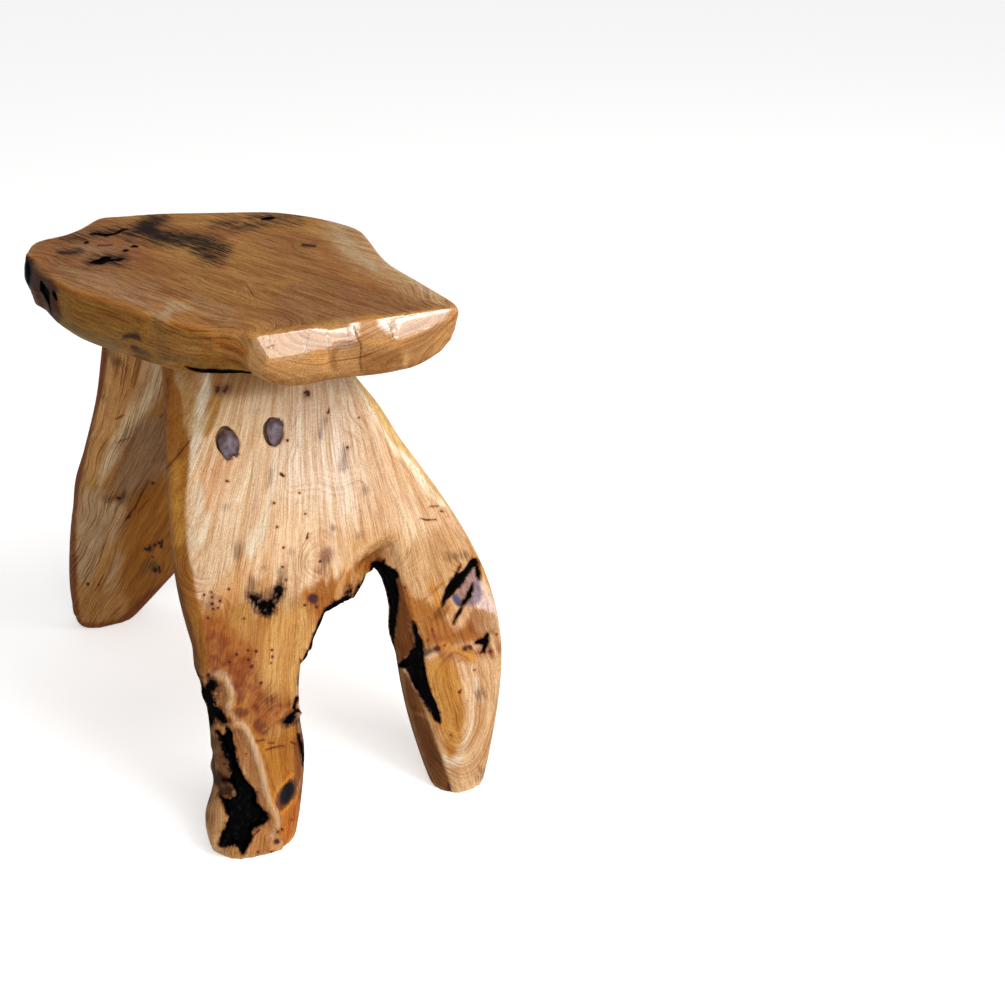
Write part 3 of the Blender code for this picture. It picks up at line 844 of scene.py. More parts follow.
# Each paint has its colour, whether it lies on the seen face or goes through the slab, how
# soft and how ragged it ends in pixels, its strength and its mottling, and its shapes.
seatPaints = [
    ("#9F7149", "slab", 14, 4, 0.8, 0,
     [[(20, 255), (85, 215), (125, 235), (135, 262), (100, 275), (50, 270)]]),
    ("#AA814A", "slab", 22, 4, 0.8, 0,
     [[(170, 262), (260, 255), (310, 275), (300, 305), (240, 315), (190, 300)]]),
    # paler right of the seat top: partly paler wood, partly painted glare of the lacquer
    ("#C6A77D", "slab", 9, 7, 0.9, 0,
     [[(322, 222), (350, 212), (380, 232), (390, 250), (420, 268), (465, 292), (460, 306),
       (436, 307), (400, 290), (360, 270), (335, 252)]]),
    ("#C8B491", "slab", 4, 4, 0.8, 0,
     [[(338, 224, 5), (344, 240, 5), (356, 255, 4), (372, 268, 3)],
      [(385, 262, 3), (410, 278, 3), (436, 294, 3)]]),
    ("#966F4C", "slab", 10, 7, 0.8, 0,
     [[(285, 292), (330, 280), (390, 292), (430, 304), (400, 320), (345, 326), (300, 330),
       (270, 322)]]),
    ("#9D7547", "slab", 6, 8, 0.7, 0,
     [[(298, 250, 6), (312, 275, 7), (330, 300, 8)], [(100, 268, 4), (140, 276, 5), (200, 300, 5)]]),
    ("#AB8C6E", "slab", 8, 8, 0.65, 0,
     [[(48, 272), (100, 272), (150, 285), (165, 300), (150, 310), (100, 292)],
      [(84, 248, 5), (110, 250, 4)], [(195, 302, 5), (230, 318, 5)]]),
    ("#C0B59A", "slab", 5, 4, 0.55, 0,
     [[(153, 318), (162, 310), (162, 303), (172, 301), (188, 309), (176, 314), (170, 319),
       (162, 323)]]),
    ("#9B7034", "face", 2.5, 1, 1, 0,
     [[(152, 320), (190, 330), (222, 339), (256, 352), (266, 374), (240, 385), (200, 375),
       (160, 364), (148, 345)]]),
    ("#9B7232", "face", 2.5, 1, 1, 0,
     [[(50, 281), (76, 294), (100, 302), (125, 310), (152, 322), (152, 340), (160, 364),
       (110, 356), (70, 342), (40, 318)]]),
    ("#7F6D3C", "face", 5, 3, 0.75, 0,
     [[(58, 322, 6), (85, 336, 5), (115, 347, 5)], [(160, 358, 5), (200, 366, 4), (246, 372, 4)]]),
    ("#4F2A12", "face", 3, 2, 1, 0,
     [[(15, 250), (28, 256), (40, 272), (56, 285), (60, 326), (38, 312), (20, 290)]]),
    ("#9E621E", "face", 1.8, 1.5, 0.85, 0,
     [[(55, 282, 1.4), (66, 288, 1.6), (77, 297, 0.8)],
      [(78, 293, 1.4), (100, 300, 1.8), (125, 308, 2.0), (150, 320, 2.0)]]),
    ("#AC722F", "face", 3, 2, 0.8, 0,
     [[(160, 324, 2), (195, 330, 4), (225, 341, 4), (252, 352, 5)]]),
    ("#8C4E0F", "face", 1.8, 1.5, 0.85, 0,
     [[(190, 333, 1.2), (215, 341, 1.8), (242, 354, 1.5)], [(200, 346, 1), (240, 362, 1.5)]]),
    ("#927449", "face", 1.5, 0.8, 0.8, 0,
     [[(150, 321, 1.2), (152, 338, 1.2), (155, 348, 1.2), (162, 356, 1)]]),
    ("#C1955E", "face", 2, 0.8, 1, 0,
     [[(255, 336), (290, 330), (330, 322), (385, 317), (430, 311), (450, 298), (462, 300),
       (462, 335), (446, 356), (400, 380), (350, 384), (300, 396), (262, 388), (248, 366)]]),
    ("#D2A364", "face", 6, 3, 0.7, 0,
     [[(318, 358, 7), (348, 357, 6)], [(438, 342, 6), (450, 322, 4)]]),
    ("#AA7948", "face", 4, 3, 0.75, 0,
     [[(268, 376, 5), (300, 386, 6), (345, 378, 5)], [(350, 340, 4), (368, 334, 3)]]),
    ("#A4743F", "face", 3, 2, 0.85, 0,
     [[(362, 355), (385, 352), (402, 351), (402, 372), (380, 376), (362, 376)],
      [(412, 366, 4), (432, 358, 3)]]),
    ("#DCB978", "face", 2.5, 1, 0.7, 0,
     [[(406, 352, 1.5), (405, 364, 3)]]),
    # golden line along the top edge of the bevel: partly golden wood, partly a painted edge highlight
    ("#B88E4C", "face", 1.3, 0.6, 0.95, 0,
     [[(252, 335, 2.2), (271, 332, 1.8), (291, 330, 1.6), (310, 327, 1.8), (322, 324, 1.8),
       (340, 320, 1.8), (362, 317, 1.4), (383, 317, 1.4), (400, 315, 1.6), (419, 313, 1.8),
       (441, 310, 2), (448, 305, 2.2), (451, 298, 2.2)]]),
    ("#241E1E", "face", 1.6, 1.4, 0.9, 0,
     [[(121, 340), (122, 337), (127, 334.6), (133, 333.5), (137, 334), (139, 337), (141, 341),
       (136, 338.6), (131, 338.2), (125, 339.4)],
      [(131, 346), (134, 344.2), (138, 346), (139.5, 350), (136, 350), (132, 348.5)]]),
    ("#5D4525", "face", 4, 3, 0.8, 0,
     [[(132, 352), (142, 346), (150, 352), (150, 362), (140, 360)]]),
]

seatMarks = {
    "polished": [[(254, 337), (290, 331), (330, 322), (356, 318), (355, 344), (337, 348),
                  (322, 349), (311, 351), (302, 356), (291, 359), (274, 359), (264, 356)],
                 [(378, 318), (430, 311), (450, 303), (446, 318), (436, 325), (414, 334),
                  (396, 338)]],
    "knots": [[(303, 245, 1.4), (315, 246, 1.2)], [(61, 253, 0.8), (76, 252.5, 0.8)],
              [(98, 245.5, 0.6), (112, 245, 0.6)], [(155, 231, 1.0)], [(162, 236, 0.8), (172, 235, 0.8)],
              [(197, 237, 0.8)]],
    "inlays": [
        [(90, 263), (93, 261), (98.6, 259.4), (103, 257), (107, 256.8), (111, 257.2), (110, 258.7),
         (115, 259.2), (121, 258.5), (123, 259.5), (119, 261), (113, 260.8), (107, 262),
         (103, 264), (97.8, 264.2)],
        [(90, 234), (97.8, 232.9), (104, 234), (113, 233.4), (119.3, 231), (122.3, 229),
         (128, 229), (122.3, 231), (119.3, 233.2), (113, 235), (107, 236.2), (101, 235.2)],
        [(122.5, 250.8), (126, 249.3), (129, 250.2), (126, 251.6)],
        [(130.5, 247.2), (134, 245.4), (138, 246.2), (134, 247.4)],
        [(84, 242.6), (87, 241.2), (89, 242.4), (86, 243.6)],
        [(261, 219.6), (265, 217.6), (270, 217), (275, 217.6), (271, 219.4), (266, 220.2)],
    ],
    "stains": [
        [(118, 232), (126, 229), (135, 225), (140, 218), (150, 214), (162, 214), (168, 221),
         (160, 227), (172, 229), (185, 232), (200, 234), (215, 238), (224, 243), (230, 250),
         (222, 254), (206, 252), (190, 248), (165, 246), (150, 243), (140, 239), (128, 239)],
        [(193, 247, 5), (206, 254, 6), (222, 258, 4)],
        [(213, 226, 1.6), (236, 223, 2.4)], [(232, 228, 1.6), (252, 226, 2.4), (268, 224, 1.6)],
        [(262, 222, 1.6), (285, 221, 1.8), (300, 221, 1.0)],
        [(62, 238, 1.6), (74, 238, 2.2), (84, 240, 1.8)], [(58, 253, 2), (80, 252, 1.6)],
        [(90, 262, 4), (110, 259, 5), (124, 259, 3)], [(92, 234, 3), (120, 231, 3)],
        [(250, 216, 2), (275, 217, 4), (300, 217, 2)],
    ],
    "deepStains": [
        [(150, 234, 3), (170, 236, 3.5), (200, 240, 4), (215, 241, 2)],
        [(160, 243, 2), (185, 246, 2), (205, 249, 3)], [(150, 220, 2.5), (160, 219, 2.5)],
        [(142, 230, 2.5), (152, 229, 3)],
    ],
    "voids": [
        [(40.3, 281.7), (41.8, 280.6), (45.7, 286.3), (49, 291.6), (49.5, 297), (50, 303),
         (51, 310.8), (52.6, 316.5), (50.2, 312.3), (48.6, 304.7), (46, 300), (43, 294.5),
         (40, 289.3)],
        [(52.6, 290.5), (55.6, 293.2), (57.4, 300.5), (55, 299.3), (53, 295.5)],
    ],
    # painted shadow: the dark gap under the seat, above the front leg, drawn black
    "shadow": [[(186, 367, 0.8), (200, 370.5, 1.6), (228, 371.5, 1.8), (250, 373, 1.2)]],
    "dark": [[(24, 254), (28, 257), (31, 266), (32, 278), (29, 287), (24, 280), (20, 266)]],
    "endHollow": [[(27, 261), (30, 267), (31, 276), (29, 285), (26.4, 278), (25.4, 268)]],
    "cracks": [
        [(310, 328, 0.2), (307, 342, 0.4), (304, 354, 0.2)],
        [(327, 326, 0.2), (328, 340, 0.4), (329, 354, 0.2)],
        [(345, 321, 0.2), (348, 334, 0.5), (349, 345, 0.2)],
        [(354, 326, 0.5), (357, 336, 0.8), (361, 347, 0.9), (360, 360, 0.7), (361, 370, 0.9)],
        [(386, 320, 0.2), (391, 330, 0.4), (395, 340, 0.2)],
    ],
}

seatLook = {
    # how far the growth lines and the fibres stray, over what distance
    "wanderMm": 60, "wanderDepthMm": 2.5, "rippleSizeMm": 7, "rippleMm": 0.8,
    "waverMm": 35, "waverDepthMm": 6, "straightShare": 0.3, "flatFlow": (0.45, 0.12),
    # widths, and lengths as multiples of them
    "bandMm": 6.0, "bandStretch": 18, "lineMm": 1.3, "lineStretch": 70,
    "fibreMm": 0.9, "fibreStretch": 30, "poreWidth": 1.2, "poreStretch": 8, "gritMm": 1.1,
    "bandShare": 0.5, "bandDark": "#C8A078", "bandLight": "#2A2010",
    "lineColour": "#B08C60", "lineShare": 0.75, "paleLineShare": 0.375,
    "lineFade": 0.4, "fadeMm": 26,
    "fibreShare": 0.7, "fibreDark": "#AE8862", "poreShare": 0.5, "gritShare": 0.4,
    # edges are painted paler as a highlight, and hollows darker as painted shade
    "edgeHighlightColour": "#D79A55", "edgeHighlightShare": 0.2, "hollowShadeColour": "#8C6A50", "hollowShadeShare": 0.5,
    # grey stains let the figure through
    "stainColour": "#3C3C4A", "stainShare": 1.0, "stainStreakMm": (1.3, 38), "stainMm": 9,
    "stainSway": (4.5, 1.2),
    # dark knots have a brown halo, and charred hollows and the painted shadow a brown border
    "haloColour": "#B07A58", "haloShare": 0.6, "knotColour": "#2E2020", "knotShare": 1.0,
    "knotMm": 1.8, "knotSway": 0.9,
    "scorchAndShadeColour": "#6E3E1C", "scorchAndShadeShare": 0.85, "charAndShadowCloudMm": 6.0, "charAndShadowStreakMm": (1.5, 9),
    "charAndShadowSway": (1.7, 0.9),
    "charAndShadowDark": "#030202", "charAndShadowLight": "#0D0E13", "charAndShadowMm": 4,
    "lumps": ((3.0, 3), (8.0, 2)), "lumpHeight": 9.0, "relief": {"fibres": 0.5, "lines": 0.6},
    "roughness": (0.30, 0.45), "bumpStrength": 0.5, "bumpMm": 0.15,
    # the lacquer alone carries the gloss, and ends on charred wood and on the painted shadow
    "coat": 0.08, "coatEnd": 1.35,
    "sockets": {"IOR": 1.5, "Specular IOR Level": 0.0, "Coat IOR": 1.75,
                "Coat Roughness": 0.07},
}


# Paints, draws and carves a piece of wood from its values, paints and marks, and closes its
# growth lines round knots.
def dressWood(wood, paints, marks, ringKnots):
    wood.startLayers()
    for paint in paints:
        wood.paint(*paint)
    for layer, kind, soft in wood.values["drawn"]:
        wood.draw(layer, marks[kind], soft)
    for kind, depthMm, edge, rough in wood.values["carved"]:
        wood.carveOut(marks[kind], depthMm, edge, rough)
    wood.bendRound(ringKnots)
    wood.scatterKnots(*wood.values["hiddenKnots"])
    wood.carve()


def makeSeat():
    wood = Wood("seat", "seat_slab", seatValues)
    marks = seatMarks
    for pull in seatValues["pulls"]:
        wood.grab(*pull)
    for swelling in seatValues["swellings"]:
        wood.swell(*swelling)
    wood.bevel(*seatValues["bevel"])
    for facet in seatValues["facets"]:
        wood.facet(*facet)
    wood.refine(marks["knots"] + marks["inlays"] + marks["voids"] + marks["cracks"], 2)
    dressWood(wood, seatPaints, marks, seatValues["ringKnots"])
    wood.paint("#6E4628", "face", 0.8, 0.2, 0.75, 0, marks["cracks"])
    wood.finish(lacqueredWood("lacquered slab of the seat", seatLook))


makeSeat()
print("seat made")


# Plugs: dark filler in the ragged mouths of the screw pockets, a little below the wood

plugValues = {
    "ringMm": 15.0,
    "depthMm": 2.0,
    "thickMm": 2.5,
    "domeMm": 0.9,
    "overlapMm": 0.4,
    "rimColour": "#6A4630",
    "dark": "#4C3B3C",
    "pale": "#7A6974",
    "lumpMm": 5.0,
    "roughness": (0.22, 0.4),
    # each outline in millimetres, across and up the leg's face from the middle of the plug
    "outlines": {
        "front_plug_left": [(-5.3, 2.4), (-3.6, 5.4), (-1.6, 7.8), (1.7, 7.9), (5.9, 6.9),
                            (8.2, 4.3), (9.7, -0.4), (9.6, -5.8), (8.0, -11.0), (6.4, -14.0),
                            (3.8, -12.5), (2.8, -12.5), (1.3, -14.7), (-1.1, -15.7),
                            (-3.0, -13.9), (-4.6, -10.8), (-4.3, -8.7), (-5.7, -5.1), (-6.0, -1.8)],
        "front_plug_right": [(-4.6, 2.8), (-2.9, 7.9), (-0.2, 10.8), (3.3, 11.5), (6.9, 10.1),
                             (9.1, 6.9), (8.7, 2.5), (6.7, -2.6), (3.7, -7.6), (0.1, -11.7),
                             (-1.7, -9.4), (-4.1, -6.2), (-4.2, -1.8), (-4.9, 0.6)],
        "rear_plug_left": [(-7.4, 3.0), (-5.0, 8.2), (-0.6, 10.9), (4.2, 9.6), (7.6, 5.0),
                           (8.0, -1.2), (5.8, -7.4), (2.0, -11.3), (-2.8, -10.4), (-5.2, -5.6),
                           (-8.0, -1.4)],
        "rear_plug_right": [(-8.0, 1.4), (-6.4, 7.0), (-2.4, 10.4), (3.0, 10.8), (7.0, 6.4),
                            (7.4, 0.6), (8.1, -4.4), (4.0, -8.8), (0.8, -11.6), (-3.8, -8.6),
                            (-6.0, -4.0)],
    },
}


# Front leg: pale above, with pin knots, then burl, a charred hollow and a raised ridge
# on the left foot, and a burnt gouge on the right prong

frontValues = {
    "voxelMm": 2.2,
    "smoothRounds": 7,
    "slabMm": 50,
    "inward": (0, 0.968, -0.25),
    "plugSide": -1,
    "facePoint": (0, -0.2377, 0),
    "ringEase": 0.003,
    "ringSmoothMm": 12,
    "facetSoftMm": 0.8,
    "alongWay": (0.10, 0.0, -1.0),
    "fanFrom": (300, 170),
    "fanMm": 300,
    "ground": ("#D8B792", "#E6D0AF"),
    "guides": [
        (84, 22, [(169, 489), (193, 471), (207, 438), (220, 412), (226, 384)]),
        (74, 22, [(187, 545), (211, 526), (239, 508), (252, 471), (262, 430), (268, 385)]),
        (66, 22, [(196, 580), (222, 560), (257, 536), (265, 508), (272, 478), (283, 449), (288, 392)]),
        (58, 22, [(276, 563), (280, 526), (287, 475), (294, 434), (306, 390)]),
        (50, 22, [(291, 475), (306, 465), (320, 458), (331, 467), (342, 469), (352, 456), (359, 438)]),
        (56, 22, [(294, 488), (309, 480), (322, 480), (335, 488), (350, 486), (359, 478)]),
        (62, 22, [(296, 505), (313, 496), (326, 506), (337, 508), (350, 500), (365, 493)]),
        (72, 22, [(318, 526), (331, 537), (339, 554), (337, 569), (322, 582)]),
        (80, 22, [(309, 569), (322, 563), (335, 571), (330, 582)]),
        (44, 22, [(350, 386), (368, 434), (383, 489), (394, 536), (400, 560)]),
        (32, 22, [(360, 392), (374, 434), (402, 489), (424, 536), (440, 575)]),
        (18, 22, [(368, 404), (400, 455), (428, 494), (452, 530), (468, 556)]),
        (90, 22, [(198, 600), (204, 639), (208, 665)]),
        (74, 22, [(262, 612), (248, 632), (240, 660)]),
        (60, 22, [(291, 590), (287, 639), (281, 688)]),
        (50, 22, [(304, 615), (297, 659), (292, 698)]),
        (66, 22, [(245, 724), (255, 748), (265, 777), (273, 807), (276, 827), (268, 850)]),
        (50, 22, [(262, 720), (272, 750), (274, 776)]),
        (44, 22, [(299, 728), (301, 760), (299, 800), (292, 835)]),
        (26, 22, [(402, 578), (420, 580), (436, 590)]),
        (34, 22, [(412, 610), (432, 600), (446, 585)]),
        (42, 22, [(422, 650), (436, 630), (452, 605)]),
        (48, 22, [(495, 650), (497, 700), (486, 742), (464, 770), (446, 762), (430, 735), (421, 708)]),
        (38, 22, [(478, 668), (478, 705), (470, 740), (457, 757), (444, 744), (436, 720)]),
        (28, 22, [(462, 660), (464, 700), (456, 736), (449, 720), (446, 690)]),
        (56, 22, [(501, 640), (502, 700), (490, 756), (470, 786), (450, 786), (440, 775)]),
    ],
    "facets": [
        ([(183, 421), (188, 560), (170, 485)], 120),
        ([(362, 396), (442, 506), (405, 450)], 75),
        ([(403, 592), (421, 656), (401, 632)], 60),
        ([(428, 716), (449, 780), (412, 720)], 60),
        ([(481, 581), (497, 612), (476, 606)], 20),
    ],
    "pulls": [
        ((346, 584), (346, 598), 20), ((334, 596), (336, 604), 14), ((358, 572), (360, 582), 14),
        ((352, 575), (352, 592), 12), ((361, 571), (361, 579), 10), ((370, 563), (370, 570), 9),
        ((350, 586), (350, 598), 12), ((365, 572), (365, 578), 9), ((329, 603), (330, 608), 10),
        ((355, 586), (355, 597), 9), ((344, 595), (344, 602), 9),
        ((360, 580), (360, 588), 8), ((377, 570), (378, 567), 8), ((314, 616), (317, 627), 18),
        ((305, 636), (311, 645), 14), ((301, 652), (307, 655), 14),
        ((208, 782), (216, 782), 20), ((214, 836), (203, 838), 18), ((222, 848), (215, 850), 12),
        ((209, 790), (216, 790), 22), ((213, 841), (206, 842), 10), ((200, 668), (196, 670), 22),
        ((206, 692), (203, 692), 14), ((271, 846), (281, 848), 14), ((296, 716), (301, 714), 8),
        ((299, 728), (296, 728), 22), ((212, 785), (216, 785), 20), ((208, 700), (205, 700), 14),
        ((207, 802), (211, 802), 16), ((210, 760), (215, 760), 14),
        ((397, 632), (391, 632), 28), ((373, 412), (377, 410), 45),
    ],
    "swellings": [
        ([[(236, 724, 3), (246, 728, 4), (255, 748, 4), (262, 772, 4), (267, 794, 4), (276, 815, 4),
           (277, 828, 3)], [(217, 676, 3), (226, 680, 4), (231, 694, 4), (229, 706, 3)]], 3.5, 4.0),
        ([[(278, 745, 6), (281, 765, 6)]], -2.0, 8.0),
        ([[(222, 760, 6), (224, 775, 5)]], -2.0, 6.0),
        ([[(299, 713, 3)]], 2.0, 3.0), ([[(299, 702, 3)]], -2.5, 3.0),
        ([[(288, 794, 8)]], -1.2, 4.0),
        ([[(452, 760, 5), (451, 780, 5), (450, 796, 5)]], -1.5, 5.0),
    ],
    "drawn": [
        ("charAndShadow", "hollow", 4.0), ("charAndShadow", "burns", 3.0), ("charAndShadow", "smoky", 7.5),
        ("charAndShadow", "bark", 2.0), ("figure", "figured", 10.0), ("knot", "knots", 1.5),
        ("knot", "roundKnots", 2.5), ("knot", "cracks", 1.5), ("stain", "stains", 5.0),
    ],
    "carved": [
        ("burns", 2.5, 2.0, 0.0), ("smoky", 2.5, 4.0, 1.5), ("gouge", 2.0, 3.0, 0.0),
        ("hollow", 7.0, 4.0, 1.5), ("knots", 0.6, 1.0, 0.0), ("cracks", 0.7, 0.6, 0.0),
    ],
    "eyeKnot": (289, 792, 6),
    "knotRings": 1.8,
    "hiddenKnots": (60, (0.8, 2.2), 6, 0.5),
    "edgeGain": 5.0,
}

